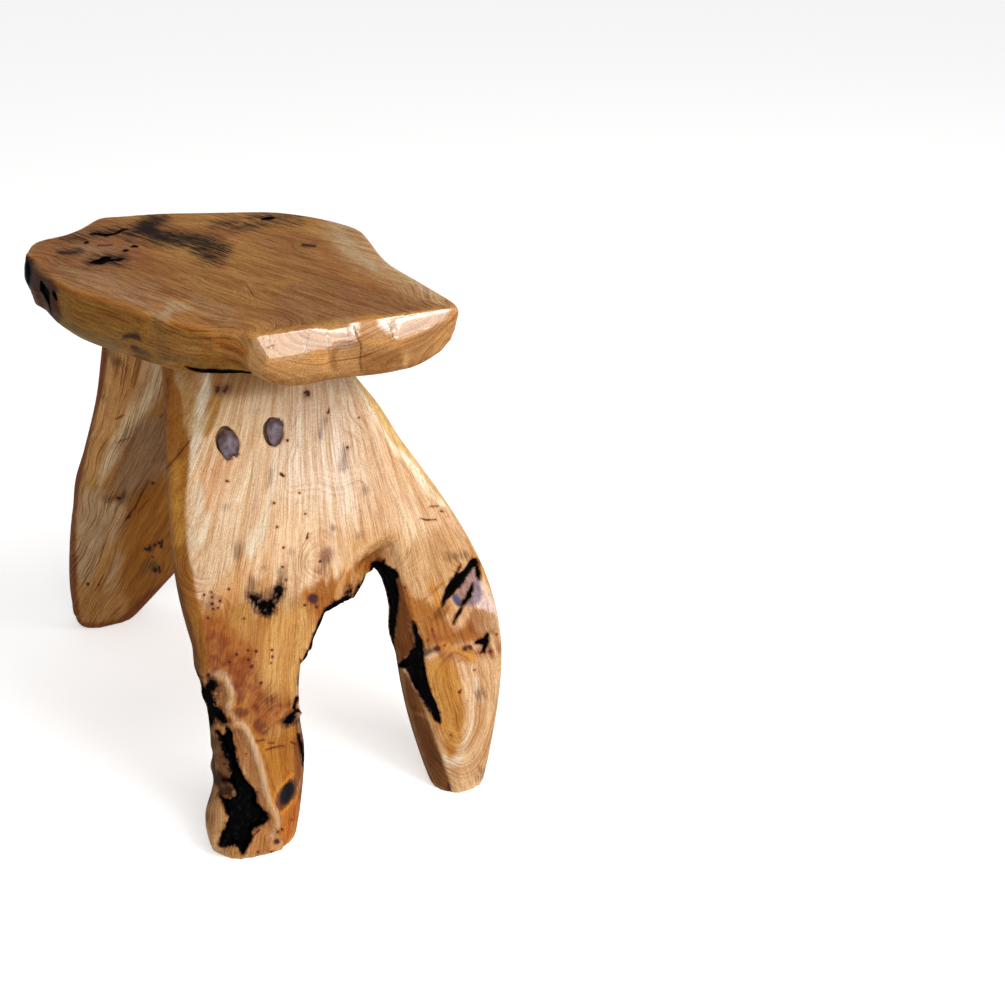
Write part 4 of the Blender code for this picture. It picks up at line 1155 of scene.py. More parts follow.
frontPaints = [
    # painted shade: the upper left of the leg is painted darker, as in the seat's shadow
    ("#B59465", "slab", 10, 5, 1, 0,
     [[(150, 355), (222, 360), (250, 366), (266, 384), (240, 392), (222, 400), (205, 430),
       (192, 470), (160, 470)]]),
    ("#E9DECE", "slab", 25, 7, 0.85, 0,
     [[(300, 400), (350, 400), (372, 450), (362, 505), (330, 520), (290, 500), (270, 460)]]),
    ("#D1BB9D", "slab", 10, 9, 0.8, 0,
     [[(240, 470), (262, 466), (262, 530), (246, 575), (204, 590), (190, 560), (208, 520)]]),
    ("#DCD5C0", "slab", 4, 4, 0.8, 0,
     [[(284, 448, 2.5), (276, 474, 3.5), (265, 518, 4), (250, 552, 5)],
      [(198, 486, 5), (202, 520, 7), (194, 545, 6)]]),
    ("#E3E0CD", "slab", 4, 3, 0.9, 0,
     [[(207, 366, 6), (208, 384, 7), (204, 410, 7), (198, 436, 6), (192, 466, 4)]]),
    ("#AE863B", "slab", 3.5, 3, 0.9, 0,
     [[(217, 366, 4), (217, 384, 6), (215, 400, 6), (212, 414, 5), (206, 432, 3.5), (199, 455, 2)]]),
    ("#EADDC1", "slab", 3, 2, 0.75, 0,
     [[(204, 440, 3), (196, 465, 3), (184, 492, 3)], [(258, 440, 3), (250, 470, 4), (238, 500, 4)]]),
    # painted shadow: the leg's top just under the seat, painted darker
    ("#A48257", "slab", 8, 3, 0.7, 0,
     [[(212, 358), (262, 362), (284, 388), (262, 394), (235, 398), (216, 398)]]),
    ("#D0C6B6", "slab", 6, 4, 0.6, 0,
     [[(322, 384, 6), (348, 382, 6)], [(200, 396, 4), (208, 394, 4)]]),
    ("#B4884D", "slab", 9, 11, 1, 0,
     [[(180, 596), (205, 604), (225, 600), (246, 594), (264, 614), (285, 592), (300, 600),
       (318, 588), (350, 575), (372, 560), (388, 556), (392, 580), (340, 620), (314, 660),
       (300, 720), (310, 870), (190, 870), (200, 720), (190, 660)]]),
    ("#CEA570", "slab", 8, 10, 0.75, 0,
     [[(222, 582), (250, 560), (258, 590), (240, 604), (218, 604)],
      [(345, 562), (350, 540), (372, 530), (404, 534), (404, 562), (385, 562), (365, 568),
       (350, 577)]]),
    ("#BFA47D", "slab", 8, 6, 0.6, 0,
     [[(296, 560, 5), (292, 585, 5), (288, 610, 5)], [(272, 690, 4), (280, 660, 5), (284, 630, 5)]]),
    ("#A76B2A", "slab", 4, 5, 0.85, 0,
     [[(306, 594), (318, 582), (335, 580), (350, 572), (362, 560), (375, 553), (390, 556),
       (384, 572), (366, 584), (356, 600), (340, 612), (326, 620), (316, 626), (309, 618),
       (312, 604)]]),
    ("#C7A273", "slab", 12, 7, 0.9, 0,
     [[(392, 560), (440, 530), (480, 560), (464, 610), (424, 626), (404, 604)]]),
    ("#9A5E28", "face", 4, 2, 0.8, 0,
     [[(322, 620, 4), (314, 640, 4), (307, 658, 4), (303, 680, 4), (298, 700, 3)]]),
    ("#A0602C", "slab", 6, 8, 1.0, 0.3,
     [[(203, 622), (222, 616), (236, 632), (252, 643), (262, 652), (258, 668), (254, 680),
       (262, 692), (282, 694), (290, 704), (286, 716), (278, 736), (264, 728), (252, 724),
       (244, 734), (232, 726), (238, 705), (238, 690), (230, 676), (216, 668), (206, 674),
       (196, 650)]]),
    ("#743E24", "slab", 5, 7, 1.0, 0.7,
     [[(262, 698), (282, 696), (288, 708), (272, 718), (262, 710)],
      [(244, 716), (270, 720), (277, 734), (254, 738)], [(236, 686, 5), (244, 700, 5), (256, 706, 5)]]),
    ("#84482A", "slab", 5, 8, 0.7, 0.8,
     [[(206, 632), (235, 640), (248, 655), (262, 690), (236, 690), (214, 664)]]),
    ("#C79D5D", "slab", 7, 6, 0.9, 0,
     [[(262, 642), (280, 615), (306, 610), (312, 630), (304, 668), (297, 692), (282, 690),
       (268, 688), (262, 672)]]),
    ("#AB742A", "slab", 4, 4, 0.9, 0,
     [[(252, 733), (276, 738), (298, 728), (303, 752), (301, 775), (288, 778), (276, 792),
       (271, 802), (266, 775), (259, 752)]]),
    ("#BC7430", "slab", 5, 4, 0.9, 0,
     [[(277, 812), (296, 798), (306, 800), (300, 830), (290, 850), (277, 852), (281, 835)]]),
    ("#BC8A54", "slab", 5, 5, 0.9, 0,
     [[(254, 828), (272, 822), (277, 836), (284, 848), (276, 868), (244, 866), (248, 842)]]),
    ("#A17446", "face", 2.5, 1.5, 1, 0,
     [[(236, 726), (246, 730), (255, 750), (262, 778), (267, 804), (273, 826), (262, 828),
       (268, 818), (258, 806), (255, 795), (244, 776), (238, 757), (233, 740)],
      [(211, 678), (218, 670), (227, 675), (232, 690), (233, 700), (227, 710), (220, 702),
       (215, 690)]]),
    # pale crest of the ridge: partly pale wood, partly a painted highlight
    ("#C3B3A8", "face", 2.2, 1.2, 0.65, 0,
     [[(213, 676, 1.2), (219, 672, 1.4), (225, 675, 1.6), (230, 684, 1.6), (233, 694, 1.2)],
      [(232, 701, 1.0), (228, 706, 1.4), (230, 713, 1.4), (236, 720, 1.4), (244, 726, 1.8),
       (250, 736, 2.0), (255, 750, 2.4), (260, 765, 2.4), (264, 780, 2.2), (267, 795, 2.0),
       (271, 806, 1.6), (277, 815, 1.6), (278, 824, 1.4), (272, 838, 2.0)]]),
    ("#B87A27", "face", 1.6, 1.0, 0.6, 0,
     [[(238, 716, 0.8), (250, 725, 1.2), (258, 738, 1.4), (264, 752, 1.4), (268, 768, 1.2),
       (271, 784, 1.2), (274, 800, 1.0)]]),
    ("#AB702A", "face", 1.2, 0.5, 1, 0,
     [[(232, 712, 1.2), (238, 706, 1.2), (247, 706, 1.2), (252, 711, 1.2), (247, 718, 1.2),
       (238, 719, 1.2)],
      [(284, 776, 2.0), (289, 771, 2.0)]]),
    ("#6E3F25", "face", 1.5, 0.8, 0.9, 0,
     [[(235, 709), (246, 708), (249, 713), (244, 717), (237, 716)],
      [(289, 779), (282, 786), (276, 795), (275, 805), (279, 811), (285, 809), (292, 802),
       (297, 793), (298, 784), (295, 779)]]),
    ("#0E111C", "face", 1.6, 0.8, 1.0, 0,
     [[(289, 781), (294, 783), (295, 790), (292, 797), (289, 802), (285, 805), (281, 804),
       (279, 800), (280, 794), (284, 786)]]),
    ("#D9922E", "face", 1.0, 0.3, 1, 0,
     [[(292, 774, 1.4), (288, 779, 1.2), (282, 785, 1.0), (277, 791, 1.0), (274.5, 798, 1.0),
       (274.5, 806, 1.0), (277, 811, 1.0), (281, 814, 1.0)],
      [(281, 814, 1.0), (285, 810, 1.0), (289, 806, 1.0), (293, 800, 0.8)]]),
    ("#5C3519", "face", 3, 2, 0.85, 0,
     [[(296, 712), (310, 706), (312, 760), (310, 800), (300, 800), (301, 776), (299, 745)]]),
    ("#684833", "face", 3, 2, 0.9, 0,
     [[(208, 735), (218, 740), (224, 752), (230, 765), (230, 780), (206, 780)]]),
    ("#B08B66", "slab", 4, 3, 0.9, 0,
     [[(208, 796), (219, 800), (226, 814), (226, 826), (220, 838), (220, 847), (230, 856),
       (196, 860), (186, 836), (198, 812)]]),
    ("#3A1E08", "slab", 2.5, 2, 1, 0,
     [[(214, 776), (226, 778), (236, 788), (234, 800), (222, 799), (210, 792)]]),
    ("#5E3618", "slab", 3, 2, 0.85, 0,
     [[(207, 798, 4), (207, 815, 4), (210, 826, 3)]]),
    ("#7A4622", "slab", 4, 4, 0.8, 0,
     [[(297, 742, 3), (299, 762, 5), (301, 782, 4)]]),
    ("#4A2E1A", "face", 3, 1, 0.8, 0,
     [[(200, 690, 3), (207, 715, 3), (211, 735, 2.5), (213, 755, 2), (213, 775, 2), (209, 800, 2)]]),
    ("#B37E23", "slab", 6, 4, 0.9, 0,
     [[(424, 664), (440, 655), (456, 662), (464, 690), (466, 720), (460, 748), (450, 764),
       (440, 742), (430, 715), (424, 690)]]),
    ("#D1B187", "slab", 7, 5, 0.9, 0,
     [[(476, 664), (512, 645), (512, 690), (506, 740), (494, 780), (462, 806), (444, 800),
       (450, 770), (462, 750), (470, 720)]]),
    ("#DDD1BF", "slab", 2.5, 1, 0.8, 0,
     [[(446, 758, 2), (452, 766, 4), (461, 757, 3), (468, 740, 2), (474, 715, 1.5)],
      [(478, 680, 3), (480, 700, 3)]]),
    ("#8C4A16", "slab", 5, 8, 0.75, 0.15,
     [[(412, 630, 4), (424, 645, 8), (440, 650, 6), (455, 655, 6), (470, 653, 6), (486, 653, 5),
       (500, 650, 3)]]),
    ("#A46A28", "slab", 4, 5, 0.95, 0,
     [[(402, 588), (416, 598), (436, 606), (446, 618), (458, 628), (468, 616), (480, 614), (484, 640),
       (462, 645), (440, 648), (418, 650), (410, 632)]]),
    ("#8C4C26", "slab", 4, 7, 0.8, 0,
     [[(464, 618), (484, 614), (487, 632), (468, 636)], [(432, 636, 4), (444, 642, 4)]]),
    ("#3A1C10", "face", 2, 3, 0.85, 0,
     [[(412, 640, 4), (425, 652, 5), (434, 649, 4)], [(462, 651, 3), (470, 648, 3)]]),
    ("#C98E3C", "slab", 3, 6, 0.8, 0,
     [[(446, 646, 3), (460, 652, 4), (474, 657, 4)], [(430, 588, 3), (446, 612, 3)]]),
    ("#B08A62", "slab", 5, 4, 0.8, 0,
     [[(470, 612), (498, 612), (504, 630), (500, 646), (486, 641), (474, 628)]]),
    ("#975C29", "face", 1.6, 1, 0.8, 0,
     [[(432, 620, 1.2), (438, 611, 1.6), (443, 604, 1.2)], [(442, 619, 1.0), (449, 606, 1.2)],
      [(424, 600, 0.8), (444, 582, 1.0)]]),
    # painted highlight: the lacquer's pinkish white glare on the gouge's planed flat
    ("#DBCCC9", "face", 1.6, 0.5, 0.9, 0,
     [[(481, 582), (490, 596), (497, 612), (481, 608.5), (475, 606), (478, 600), (481, 592)]]),
    ("#A28A88", "face", 1.6, 1, 1, 0,
     [[(470, 571), (474, 565), (479, 571), (480, 580), (477, 590), (472, 588), (468, 597),
       (462, 605), (454, 601), (458, 591), (464, 580)]]),
    # painted reflection: the blue highlight in the gouge
    ("#525E8C", "face", 1.6, 1, 0.95, 0,
     [[(452, 597), (457, 595), (463, 600), (463, 606), (458, 606), (454, 602)]]),
    ("#8C8296", "face", 2, 1.5, 0.95, 0,
     [[(477, 580), (481, 588), (480, 600), (472, 606), (467, 604), (474, 595)]]),
    ("#D0993C", "face", 2, 1, 0.8, 0,
     [[(471, 548, 2), (485, 575, 2), (497, 598, 2), (504, 620, 2.5), (506, 650, 2.5),
       (503, 690, 2.5), (498, 730, 3), (490, 762, 3)]]),
    ("#9B6827", "face", 2, 1, 1, 0,
     [[(140, 360), (171, 366), (174, 380), (180, 392), (183, 410), (184, 425), (188, 433),
       (190, 445), (190, 457), (188, 480), (186, 500), (185, 520), (187, 540), (190, 560),
       (194, 580), (199, 605), (205, 630), (206, 655), (203, 672), (180, 680), (140, 560)]]),
    ("#66380A", "face", 3, 1, 0.85, 0,
     [[(168, 380, 1.5), (164, 440, 2), (164, 500, 3.5), (167, 550, 4.5), (176, 590, 5),
       (186, 625, 5), (196, 662, 5)]]),
    ("#C89741", "face", 5, 2, 0.75, 0,
     [[(178, 465, 5), (177, 505, 7), (180, 540, 6)]]),
    ("#E2C589", "face", 1.5, 0.8, 1, 0,
     [[(350, 366), (356, 382), (365, 396), (374, 411), (383, 426), (392, 441), (402, 451),
       (411, 460), (421, 472), (433, 489), (446, 506), (460, 510), (420, 450), (385, 400),
       (362, 366)]]),
    ("#F4F1DA", "face", 1.4, 0.8, 0.95, 0,
     [[(354, 380), (365, 396), (374, 411), (382, 426), (392, 441), (402, 451), (411, 460),
       (421, 472), (433, 489), (445, 504), (440, 506), (432, 498), (424, 489), (418, 481),
       (410, 470), (403, 462), (396, 456), (392, 449), (386, 438), (380, 429), (374, 417),
       (366, 403), (358, 389)]]),
    ("#6C4018", "face", 1.4, 0.5, 1, 0,
     [[(376, 556), (392, 571), (399, 575), (404, 595), (409, 611), (413, 623), (418, 640),
       (421, 655), (415, 662), (398, 668), (380, 660), (370, 600)]]),
    ("#704820", "face", 1.6, 0.8, 1, 0,
     [[(390, 668), (404, 671), (412, 684), (420, 697), (428, 718), (436, 741), (444, 762),
       (449, 780), (451, 792), (448, 806), (426, 800), (405, 740)]]),
    ("#583109", "face", 4, 3, 0.65, 0,
     [[(404, 684, 2.5), (412, 704, 3), (422, 730, 3), (432, 760, 3)]]),
    ("#C29C6E", "slab", 3, 3, 0.9, 0,
     [[(254, 582), (268, 576), (272, 590), (262, 595), (255, 592)]]),
    ("#A37F6B", "slab", 3, 3, 0.7, 0,
     [[(250, 572, 2), (251, 588, 3)], [(212, 602, 7)], [(264, 568, 2)]]),
    ("#8B645A", "slab", 3, 3, 0.8, 0,
     [[(319, 552), (325, 547), (331, 550), (332, 557), (325, 561), (320, 559)]]),
]

frontMarks = {
    "knots": [
        [(218, 388, 2.0), (217.5, 391, 1.4)], [(224.5, 391, 1.6), (227, 387, 1.2)],
        [(305, 392.5, 1.2), (308, 392, 1.8), (308.5, 395, 1.6)], [(329, 409, 0.7), (328, 413, 1.3)],
        [(359, 417.5, 1.0)], [(287.5, 440.5, 1.5)], [(347.5, 447.5, 1.4)],
        [(281, 474, 1.6), (283.5, 476, 1.4)], [(226.5, 481, 1.3), (228.5, 481.5, 0.9)],
        [(299.5, 493, 1.3)], [(274, 503, 1.4)], [(305.5, 514, 1.2)], [(277, 527, 1.4)],
        [(308, 533, 0.6), (307, 538, 1.3)], [(283.5, 547.5, 1.4)], [(320, 561.5, 1.5)],
        [(282.5, 567, 1.3)], [(286, 580, 1.4)], [(228.7, 589, 1.4)], [(204, 595, 1.4)],
        [(211, 592, 1.0)], [(212, 597, 1.2)], [(220, 601, 1.5)], [(212, 604, 1.8)],
        [(213, 609, 1.4)], [(218, 608, 1.3)], [(208, 618, 1.2)], [(243.8, 618.7, 1.2)],
        [(304.8, 605, 1.3)], [(316.5, 607, 1.5)], [(272, 650, 1.4)], [(272.5, 657, 1.4)],
        [(271, 663, 1.1)], [(236.5, 654.5, 1.8)], [(256, 651.5, 1.8)], [(247.7, 650.5, 1.3)],
        [(248.5, 660, 1.6)], [(251.5, 666.5, 1.8)], [(229, 662, 1.3)], [(261, 683, 1.6)],
        [(282, 829.5, 1.4)], [(278, 832, 1.3)], [(258, 852, 1.2)], [(272, 853, 1.2)],
        [(292, 820, 1.0)], [(253, 836, 0.8), (259, 830, 1.2)], [(437.6, 648.7, 2.6)],
        [(444.5, 645.5, 1.2)], [(465, 649, 2.0)], [(470.5, 647, 1.6)], [(481, 652.5, 1.4)],
        [(490.5, 651.5, 1.8)], [(496.5, 634.5, 0.9)], [(474.5, 670, 1.0)],
        [(459.5, 692.5, 1.4), (461, 690, 0.8)], [(450.6, 735, 1.0)], [(405, 587.5, 1.2)],
        [(208, 675, 2.0)], [(300.5, 660, 1.0), (301, 664, 0.8)], [(452, 736, 0.8)],
        [(246, 754, 1.0)], [(224, 764, 1.2)], [(228, 769, 1.2)], [(221, 757, 1.0)],
        [(432, 630, 0.9)], [(428, 640, 0.9)], [(418, 645, 1.2)],
    ],
    "roundKnots": [
        [(313, 598.5, 5.2)], [(277, 842, 3.6)],
    ],
    "burns": [
        [(468, 564), (472.6, 558.4), (477, 559.4), (479, 565.4), (475, 567.4), (470.4, 573),
         (465.6, 580), (461, 587), (456, 592), (451, 597), (446.6, 601), (442.6, 605.4),
         (443.4, 597), (446.6, 587), (450.6, 580.4), (455, 576), (460, 572.6), (464, 569.6)],
        [(478, 565), (480, 571), (480.6, 579), (479.4, 580), (477.4, 571)],
        [(461, 565, 0.3), (458, 571, 0.7), (455, 577, 1.2)],
        [(474.3, 583), (474.2, 590), (471.6, 597), (467.2, 603), (460, 612.6), (454.6, 624),
         (453.6, 621), (458.8, 611), (462.3, 604), (465.8, 598.7), (469.2, 591.8)],
        [(476, 642), (481, 639), (484.4, 638), (487.5, 632.4), (488.7, 641), (486.4, 645.5),
         (485, 651.6), (482.2, 651.2), (483.2, 645.5), (481, 644), (477, 643.8)],
        [(396.5, 665.5), (409, 656), (411.6, 650), (422, 648), (424, 663), (426.4, 676.7),
         (431, 692), (438, 708), (441.2, 722.5), (438, 722), (428.6, 710), (421.6, 699),
         (416.4, 689), (410.3, 678.5), (406, 669), (397.7, 666.5)],
        [(412, 621), (416.5, 626), (418, 634), (422, 642), (422.6, 650), (417, 649), (415, 638)],
        [(372, 562), (390, 567.5), (398, 574), (395.5, 580), (398.6, 592), (398.2, 604),
         (395.6, 621), (393.6, 642), (393, 652), (380, 655), (370, 600)],
        [(290, 717, 0.9), (296, 711, 1.2), (300, 711.5, 0.8)], [(294, 708, 1.0), (297, 698, 1.6)],
        [(299, 735, 1.2), (302, 750, 1.5), (304, 765, 1.2)],
    ],
    "bark": [
        [(325, 613, 2.4), (331, 608, 3.6), (341, 604, 4.0), (352, 601, 3.4)],
        [(355, 598, 2.4), (360, 588, 2.0), (366, 580, 2.0), (375, 571, 2.0), (382, 566, 2.6)],
        [(323, 617, 2.0), (319.5, 626, 2.4), (316, 634, 1.6), (311, 645, 1.0)],
        [(382, 566, 1.4), (384, 560, 1.2)],
        [(311, 645, 1.2), (306, 656, 1.0), (301, 668, 0.9), (298.5, 684, 0.8)],
    ],
    "figured": [
        [(424, 655), (450, 650), (480, 655), (512, 645), (512, 690), (506, 740), (494, 780), (462, 806),
         (436, 800), (425, 740)],
        [(172, 360), (190, 380), (196, 440), (194, 520), (204, 600), (206, 650), (180, 660),
         (150, 560), (140, 360)],
        [(318, 540, 12)], [(330, 480, 10)], [(262, 700, 14), (250, 670, 12)],
    ],
    "smoky": [
        [(249, 596), (254, 595.5), (259, 598), (262, 601), (267, 602), (272, 598), (276, 593),
         (278, 598), (275.5, 605), (273.5, 610), (270, 615), (264, 614), (259, 610), (253, 605)],
        [(276, 597, 3.0), (279, 588, 2.4)],
        [(285, 722, 2.0), (289, 720, 3.4), (292, 716, 2.4)],
        [(195, 666), (200, 680), (206, 690), (208, 681), (212, 679), (216, 684), (215, 690),
         (211.5, 693.5), (214.5, 700), (213.5, 705.5), (218, 708), (224.5, 716), (226, 722),
         (218, 720), (214, 718), (212, 726), (206, 722), (200, 700), (192, 680)],
    ],
    # painted highlights: small grey-blue glints of the lacquer on the charred V
    "paintedGlints": [
        [(252, 600, 0.9), (254, 605, 0.9), (258, 608, 0.8)], [(257, 600, 0.8), (261, 604, 0.8)],
        [(263, 610, 0.8), (268, 611, 0.7)], [(277, 594, 0.9), (275, 601, 0.8)],
    ],
    "hollow": [
        [(215.5, 730), (219, 731), (222, 735), (225.6, 734), (227, 728), (230, 729.5),
         (232.8, 733.4), (232.4, 739.7), (234.4, 746), (236, 755), (239, 766), (242.4, 774),
         (248, 782), (254.4, 790), (256.4, 796), (256.6, 801), (259, 805.5), (265.4, 811.7),
         (268.8, 818), (265, 822.4), (258.7, 826.2), (252.6, 831), (252, 837), (248.5, 845),
         (244.6, 852), (241.4, 853.5), (239, 849.6), (236, 846.6), (230, 846), (226, 848),
         (221.6, 846), (219, 843), (221, 836), (224, 829), (226, 824), (228.5, 819), (226, 812),
         (224, 806), (221.5, 800), (219, 794), (223.5, 797.5), (228, 799), (236.6, 796),
         (233.6, 788), (229, 782), (224, 779.6), (230.5, 776), (229.7, 768), (228, 760),
         (224, 755), (221.9, 747.5), (218, 740), (216.4, 733.5)],
    ],
    "gouge": [
        [(472, 558), (479, 563), (481.5, 580), (479.5, 597), (468, 607), (455, 607), (446, 603),
         (443, 602), (450, 585), (460, 575), (466, 566)],
    ],
    "pockets": [[(228, 440, 10), (229, 448, 10)], [(273, 430, 9), (273, 434, 9)]],
    "stains": [
        [(262, 603, 11), (278, 592, 7), (281, 578, 3)], [(281, 582, 3), (285, 566, 1)],
        [(252, 580, 3), (250, 592, 5)], [(345, 450, 4), (344, 468, 4)], [(325, 420, 2), (320, 436, 3)],
        [(358, 536, 3)], [(239, 545, 3), (237, 556, 3)], [(219, 390, 6), (226, 388, 5)],
        [(320, 572, 4), (326, 562, 4)], [(281, 572, 4), (280, 590, 4)], [(292, 552, 2)],
        [(480, 694, 5)], [(482, 770, 3), (480, 776, 3)], [(447, 604, 3), (436, 618, 3)],
        [(306, 395, 4)], [(226, 508, 3)], [(271, 470, 1.5), (268, 486, 1.5)],
        [(452, 556, 4), (466, 556, 3)], [(270, 700, 4)],
        [(416, 636, 4), (420, 648, 5)], [(366, 490, 4)], [(334, 528, 3)],
    ],
    "cracks": [
        [(421, 518.5, 0.5), (427, 520, 0.9), (436, 519.4, 0.5)], [(430, 506.4, 0.6), (438, 506, 0.6)],
        [(441, 511, 0.9), (443, 511.6, 0.5)], [(257, 741, 0.5), (264, 740, 0.6)],
        [(268, 743, 0.5), (274, 743, 0.6)], [(266, 750, 0.6), (276, 747, 0.8), (284, 746, 0.5)],
        [(448, 784, 0.6), (450, 793, 1.4)], [(291, 742, 0.6), (296, 744, 0.8)],
        [(165, 470, 0.5), (178, 455, 0.6), (189, 441, 0.4)],
    ],
}

frontLook = dict(
    seatLook,
    wanderMm=70, wanderDepthMm=4.0, rippleMm=1.0, straightShare=0.8, bandMm=8.0,
    fibreMm=1.0, bandShare=0.6, bandDark="#DCBA90", bandLight="#2A2418", lineColour="#BC9468",
    lineShare=0.5, paleLineShare=0.25, lineFade=0.85, fibreDark="#C09A72", poreShare=0.4,
    gritShare=0.35, edgeHighlightColour="#EBC690", hollowShadeColour="#9C7050",
    stainColour="#8A8088", stainShare=0.75, haloColour="#C08A68", knotColour="#3E2226",
)


def makeFrontLeg():
    wood = Wood("front_leg", "front_leg_slab", frontValues)
    marks = frontMarks
    for facet in frontValues["facets"]:
        wood.facet(*facet)
    for pull in frontValues["pulls"]:
        wood.grab(*pull)
    for swelling in frontValues["swellings"]:
        wood.swell(*swelling)
    wood.refine(marks["hollow"] + marks["burns"] + marks["gouge"], 1)
    wood.refine(marks["knots"] + marks["cracks"] + marks["pockets"], 2)
    wider = frontValues["knotRings"]
    rings = [stroke[0] for stroke in marks["roundKnots"]]
    rings += [(x, y, radius * wider) for x, y, radius in (stroke[0] for stroke in marks["knots"])]
    dressWood(wood, frontPaints, marks, rings + [frontValues["eyeKnot"]])
    # painted glints: grey-blue reflections painted on the charred V, whose black is taken out there
    wood.paint("#606A78", "face", 1.0, 0.3, 1.0, 0, marks["paintedGlints"])
    wood.erase("charAndShadow", marks["paintedGlints"], 0.5)
    for plug in ("front_plug_left", "front_plug_right"):
        wood.openMouth(plug, plugValues)
    wood.finish(lacqueredWood("lacquered fork of the front leg", frontLook))


makeFrontLeg()
print("front leg made")


# Rear leg: streaked tan wood, its lines slanting down to the left

rearValues = {
    "voxelMm": 2.2,
    "smoothRounds": 8,
    "slabMm": 50,
    "inward": (0, 0.938, 0.346),
    "plugSide": 1,
    "facePoint": (0, 0.1933, 0),
    "ringEase": 0.003,
    "ringSmoothMm": 12,
    "facetSoftMm": 0.8,
    "alongWay": (-0.35, 0.0, -0.93),
    "ground": ("#B28143", "#C29558"),
    "guides": [
        (96, 20, [(107, 346), (106, 389), (98, 429), (87, 468), (78, 508)]),
        (82, 20, [(133, 358), (127, 389), (117, 419), (100, 458), (86, 498), (79, 528)]),
        (72, 20, [(148, 366), (143, 389), (133, 413), (119, 449), (98, 498), (80, 553)]),
        (58, 20, [(166, 379), (155, 419), (139, 458), (119, 498), (100, 538), (82, 577)]),
        (44, 20, [(165, 458), (139, 498), (119, 538), (106, 577), (92, 600), (84, 618)]),
        (32, 20, [(167, 508), (144, 543), (129, 577), (110, 605), (98, 624)]),
        (20, 20, [(170, 567), (155, 585), (137, 604), (118, 620)]),
    ],
    "pulls": [((80, 488), (77, 488), 40), ((79, 612), (74, 614), 14)],
    "facets": [
        ([(104, 392), (82, 500), (93, 440)], 90),
        ([(78, 520), (80, 610), (73, 560)], 80),
    ],
    "drawn": [("knot", "cracks", 1.5), ("knot", "knots", 1.5), ("stain", "stains", 5.0)],
    "carved": [("cracks", 0.9, 0.8, 0.0), ("knots", 0.6, 1.0, 0.0)],
    "ringKnots": [(119, 498, 3), (89, 584, 3), (155, 571, 4)],
    "hiddenKnots": (40, (0.8, 2.2), 7, 0.5),
    "edgeGain": 5.0,
}

rearPaints = [
    ("#DCAD6C", "slab", 6, 6, 0.85, 0,
     [[(100, 330), (142, 335), (152, 362), (142, 392), (122, 430), (98, 450), (86, 440), (98, 380)],
      [(100, 450, 5), (88, 480, 5)]]),
    ("#F0E2BC", "slab", 6, 5, 0.75, 0,
     [[(150, 352), (162, 356), (170, 370), (168, 384), (158, 398), (146, 414), (134, 432),
       (120, 455), (108, 474), (100, 486), (104, 462), (120, 432), (132, 410), (143, 385)]]),
    ("#967D5F", "slab", 7, 7, 0.8, 0,
     [[(135, 425), (165, 415), (170, 450), (162, 475), (140, 490), (118, 500), (104, 502),
       (116, 470)]]),
    ("#C3AB86", "slab", 6, 7, 0.85, 0,
     [[(84, 502), (105, 492), (122, 504), (118, 530), (100, 560), (84, 590), (76, 570), (78, 540)],
      [(120, 560, 5), (108, 590, 5)]]),
    ("#9F6617", "slab", 8, 7, 0.85, 0,
     [[(135, 500), (172, 480), (180, 590), (150, 606), (128, 606), (122, 560), (128, 525)]]),
    ("#8A4A1C", "slab", 3, 2, 0.9, 0,
     [[(88, 640), (88, 628), (118, 618), (136, 604), (155, 590), (180, 578), (190, 610),
       (140, 640)]]),
    ("#7D5C38", "slab", 4, 4, 0.6, 0,
     [[(112, 362, 5), (122, 366, 4)], [(103, 398, 4)], [(106, 500, 5), (122, 498, 5)],
      [(150, 568, 6)]]),
    ("#84470B", "face", 2, 1, 0.95, 0,
     [[(92, 340), (107, 343), (105, 380), (100, 402), (92, 430), (83, 470), (77, 505), (76, 545),
       (77, 580), (79, 608), (84, 640), (60, 640), (60, 500), (85, 400)]]),
    ("#3A2618", "face", 3, 1, 0.8, 0,
     [[(71, 612, 2), (75, 624, 3), (82, 631, 3)]]),
]

rearMarks = {
    "cracks": [
        [(149, 480, 0.2), (141, 495, 0.6), (135, 507, 0.5), (128, 517, 0.9), (125, 521, 0.2)],
        [(116, 419, 0.4), (120, 417, 0.6), (124, 415, 0.3)], [(116, 443, 0.2), (122, 440, 0.2)],
        [(124, 440, 0.2), (130, 437.5, 0.1)], [(160, 417, 0.3), (167, 412, 0.2)],
        [(138, 512, 0.1), (148, 500, 0.3)],
    ],
    "knots": [
        [(118, 498, 1.4), (120, 498.5, 1.2)], [(129, 517, 1.6)], [(153, 483, 1.5)],
        [(145, 549, 1.2), (149, 549.5, 1.8), (150, 547, 1.2)], [(155, 545, 1.6)], [(159, 543, 1.6)],
        [(162, 541, 1.2), (161, 547, 1.4)], [(153, 557, 0.9)], [(155, 570, 2.4)],
        [(159, 567, 1.2), (160, 572, 1.2)], [(88, 584, 1.5)], [(99, 585, 0.8)],
    ],
    "stains": [
        [(110, 500, 3), (124, 496, 3)], [(116, 362, 3)], [(103, 398, 2)], [(154, 566, 4)],
        [(150, 548, 3)],
    ],
}

rearLook = dict(
    seatLook,
    wanderDepthMm=3.0, lineMm=1.2, bandDark="#CCA47A", bandLight="#2A2214",
    lineColour="#A87C50", lineShare=0.8, paleLineShare=0.4, lineFade=0.3, fibreDark="#B08C64",
    poreShare=0.4, gritShare=0.35, edgeHighlightColour="#D8A868", edgeHighlightShare=0.15, hollowShadeColour="#9C7050",
    stainColour="#8A8088", stainShare=0.7, haloColour="#A87858", knotColour="#241816",
)


